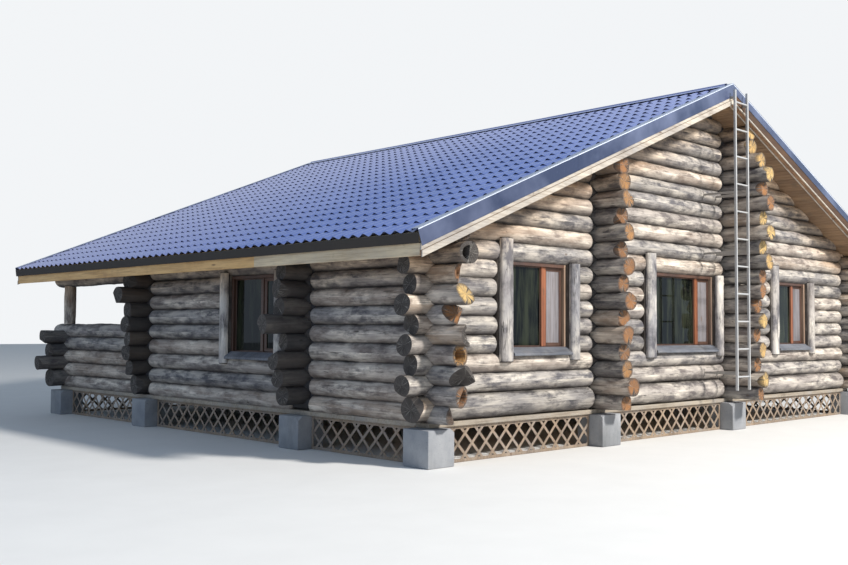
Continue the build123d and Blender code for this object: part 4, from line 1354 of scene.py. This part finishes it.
FRONT = (0, 0, 0)
ON_LEFT, ON_RIGHT = (0, FULL_L, -QUARTER), (HOUSE_W, 0, QUARTER)
ON_BACK = (HOUSE_W, HOUSE_L, 2 * QUARTER)
windows = [(a, b, WIN_Z, FRONT, False, False) for a, b in WINDOWS]
windows += [(FULL_L - SIDE_WINDOW[1], FULL_L - SIDE_WINDOW[0], SIDE_WIN_Z, ON_LEFT, False, True),
            (*SIDE_WINDOW, SIDE_WIN_Z, ON_RIGHT, True, True)]
windows += [(HOUSE_W - b, HOUSE_W - a, WIN_Z, ON_BACK, False, False) for a, b in BACK_WINDOWS]
frames, panes, sills, posts, vents = [], [], [], [], []
for w0, w1, (z0, z1), spot, flip, aside in windows:
    wood, glass, board = window_parts(w0, w1, z0, z1, flip, aside)
    if aside:
        bpy.data.objects.remove(board)
        trims = ((w0 - 0.170, w0, 0.06), (w1, w1 + 0.170, 0.06))
    else:
        vents.append(turned_to(board, spot))
        trims = ((w0 - 0.225, w0, 0.285), (w1, w1 + 0.190, 0.03))
    frames.append(turned_to(wood, spot))
    panes.append(turned_to(glass, spot))
    sills.append(turned_to(sill_shape(w0, w1, z0), spot))
    for a, b, above in trims:
        posts.append(turned_to(half_round(a, b, z0 - 0.105, z1 + above), spot))
placed(frames, "window_frame_timber", "window_timber", ("window_frames",))
placed(panes, "window_panes", "glass", ("window_glass",), PANE)
placed(vents, "window_vent_boards", "window_timber", (), VENT_BOARD)
placed(sills, "window_sill_boards", "trim_timber", ("window_sills",), SILL)
placed(posts, "window_side_posts", "trim_timber", ("window_casings",))

# Terrace door: frame, plank leaf with ledges, and handle
DOOR_PLANKS = 8
d0, d1, low, high = HOUSE_W - DOOR[1], HOUSE_W - DOOR[0], FLOOR_TOP, DOOR_TOP
ring = [timber(*box) for box in (
    (d0 + 0.001, d0 + 0.05, 0.04, 0.20, low, high - 0.001),
    (d1 - 0.05, d1 - 0.001, 0.04, 0.20, low, high - 0.001),
    (d0 + 0.05, d1 - 0.05, 0.041, 0.199, high - 0.05, high - 0.001),
    (d0 + 0.05, d1 - 0.05, 0.041, 0.199, low, low + 0.03))]
placed([turned_to(part, ON_BACK) for part in ring], "terrace_door_frame", "window_timber",
       ("door_frame",), SHADED_FRAME_WOOD)
leaf = []
width = (d1 - d0 - 0.104) / DOOR_PLANKS
for i in range(DOOR_PLANKS):
    x = d0 + 0.052 + i * width
    leaf.append(timber(x + 0.0008, x + width - 0.0008, 0.092, 0.118, low + 0.034, high - 0.052))
for z in (low + 0.14, (low + high) / 2 - 0.07, high - 0.30):
    leaf.append(timber(d0 + 0.07, d1 - 0.07, 0.1185, 0.1348, z, z + 0.14))
leaf.append(timber(d1 - 0.14, d1 - 0.10, 0.0885, 0.0918, low + 0.92, low + 1.12, 0.001))
leaf.append(rod((d1 - 0.12, 0.068, low + 1.06), 0.009, 0.045, 'Y'))
leaf.append(timber(d1 - 0.24, d1 - 0.111, 0.046, 0.060, low + 1.051, low + 1.069, 0.005, 2))
placed([turned_to(part, ON_BACK) for part in leaf], "terrace_door_leaf", "window_timber",
       ("terrace_door",), SHADED_FRAME_WOOD)

# Terrace posts
POST_R = 0.104
RAIL_TOP, TIE_LOW = 1.531, 2.475
spots = [(AXIS, FULL_L - AXIS, 1.645, 2.361), (HOUSE_W - AXIS, FULL_L - AXIS, 1.645, 2.479)]
spots += [(x, FULL_L - 0.12, RAIL_TOP - 0.005, TIE_LOW + 0.008)
          for x in (PURLINS_X[0], GATE[0] - 0.105, GATE[1] + 0.105, PURLINS_X[2])]
spots += [(x, FULL_L - 0.12, TIE_LOW + 0.228, purlin_z(x) - PURLIN_R + 0.008)
          for x in PURLINS_X]
hewn("terrace_round_posts", [log_bar('Z', z0, z1, x, y, POST_R, ring=0.1, fresh=0.1)
                             for x, y, z0, z1 in spots], LOG_SKIN, "terrace_posts")

# Roof ladder on the front gable, with its wall arms, their plates and bolts
RUNGS, RUNG_LOW, RUNG_STEP = 11, 0.89, 0.43
RAIL = 0.03
lx0, lx1 = 6.095, 6.505
ladder = [timber(x, x + RAIL, -0.59, -0.55, 0.68, 5.38, 0.004, 2) for x in (lx0, lx1 - RAIL)]
for i in range(RUNGS):
    ladder.append(rod(((lx0 + lx1) / 2, -0.57, RUNG_LOW + RUNG_STEP * i), 0.0135,
                      lx1 - lx0 - 0.002, 'X'))
placed([smooth(part, 35) for part in ladder], "roof_ladder_rails", "ladder_metal",
       ("roof_ladder",), LADDER)
arms = []
for x in (lx0, lx1 - RAIL):
    for z in map(x_log_z, (1, 9, 13)):
        arms.append(timber(x + 0.004, x + 0.026, -0.552, -0.004, z - 0.017, z + 0.017, 0.003))
        arms.append(timber(x, x + RAIL, -0.012, -0.001, z - 0.060, z + 0.060, 0.002))
        for up in (-0.042, 0.042):
            arms.append(rod((x + 0.015, -0.016, z + up), 0.009, 0.008, 'Y', 6))
    top = verge_z(x + 0.015) + 0.085
    arms.append(timber(x + 0.004, x + 0.026, -0.552, VERGE_F - 0.001, top, top + 0.04, 0.003))
placed(arms, "ladder_wall_arms", "ladder_metal", ("ladder_brackets",), ARM_IRON)


# Camera, lamps and floor

camera = bpy.data.objects.new("view camera", bpy.data.cameras.new("view camera"))
bpy.context.collection.objects.link(camera)
camera.data.sensor_width = 36.0
camera.data.lens = 42.5
camera.data.clip_end = 200.0
camera.location = (-14.3752, -13.3063, 1.5937)
camera.rotation_euler = (1.617647, -0.006451, -0.769368)
bpy.context.scene.camera = camera


def soft_light(name, place, size, power, colour):
    lamp = bpy.data.lights.new(name, 'AREA')
    lamp.shape = 'DISK'
    lamp.size = size
    lamp.energy = power
    lamp.color = colour
    holder = bpy.data.objects.new(name, lamp)
    bpy.context.collection.objects.link(holder)
    holder.location = place
    aim = Vector((0.0, -1.0, 1.5)) - Vector(place)
    holder.rotation_euler = aim.to_track_quat('-Z', 'Y').to_euler()


soft_light("front key", (3.0, -29.0, 21.0), 3.5, 14700, (1.0, 0.955, 0.89))
soft_light("left fill", (-24.0, -4.0, 10.0), 14.0, 480, (0.36, 0.60, 1.0))

# The room is brighter where the camera or a reflection sees it than where it lights
SEEN, LIGHTING = 0.93, 0.33
world = bpy.data.worlds.new("pale room")
bpy.context.scene.world = world
world.use_nodes = True
sky = Nodes(world.node_tree)
rays = sky.node('ShaderNodeLightPath').outputs
direct = sky.math('MAXIMUM', Signal(sky, rays['Is Camera Ray']),
                  Signal(sky, rays['Is Transmission Ray']))
bright = sky.math('MAXIMUM', direct, Signal(sky, rays['Is Glossy Ray']))
back = world.node_tree.nodes["Background"]
sky.feed(back.inputs['Strength'], bright * (SEEN - LIGHTING) + LIGHTING)
sky.feed(back.inputs['Color'], sky.mix(direct, (0.70, 0.83, 1.0), (0.96, 0.98, 1.0)))

nothing_selected()
bpy.ops.mesh.primitive_plane_add(size=160, location=(0, 0, -0.002))
floor = bpy.context.object
floor.name = "studio_floor"
ground = Finish("pale floor")
ground.body = ground.noise(ground.spot(), 1.5, 3).ramp(0.3, (0.78, 0.78, 0.77),
                                                       0.7, (0.81, 0.81, 0.80))
skinned(floor, ground.done(0.9))

bpy.context.scene.view_settings.view_transform = 'Standard'
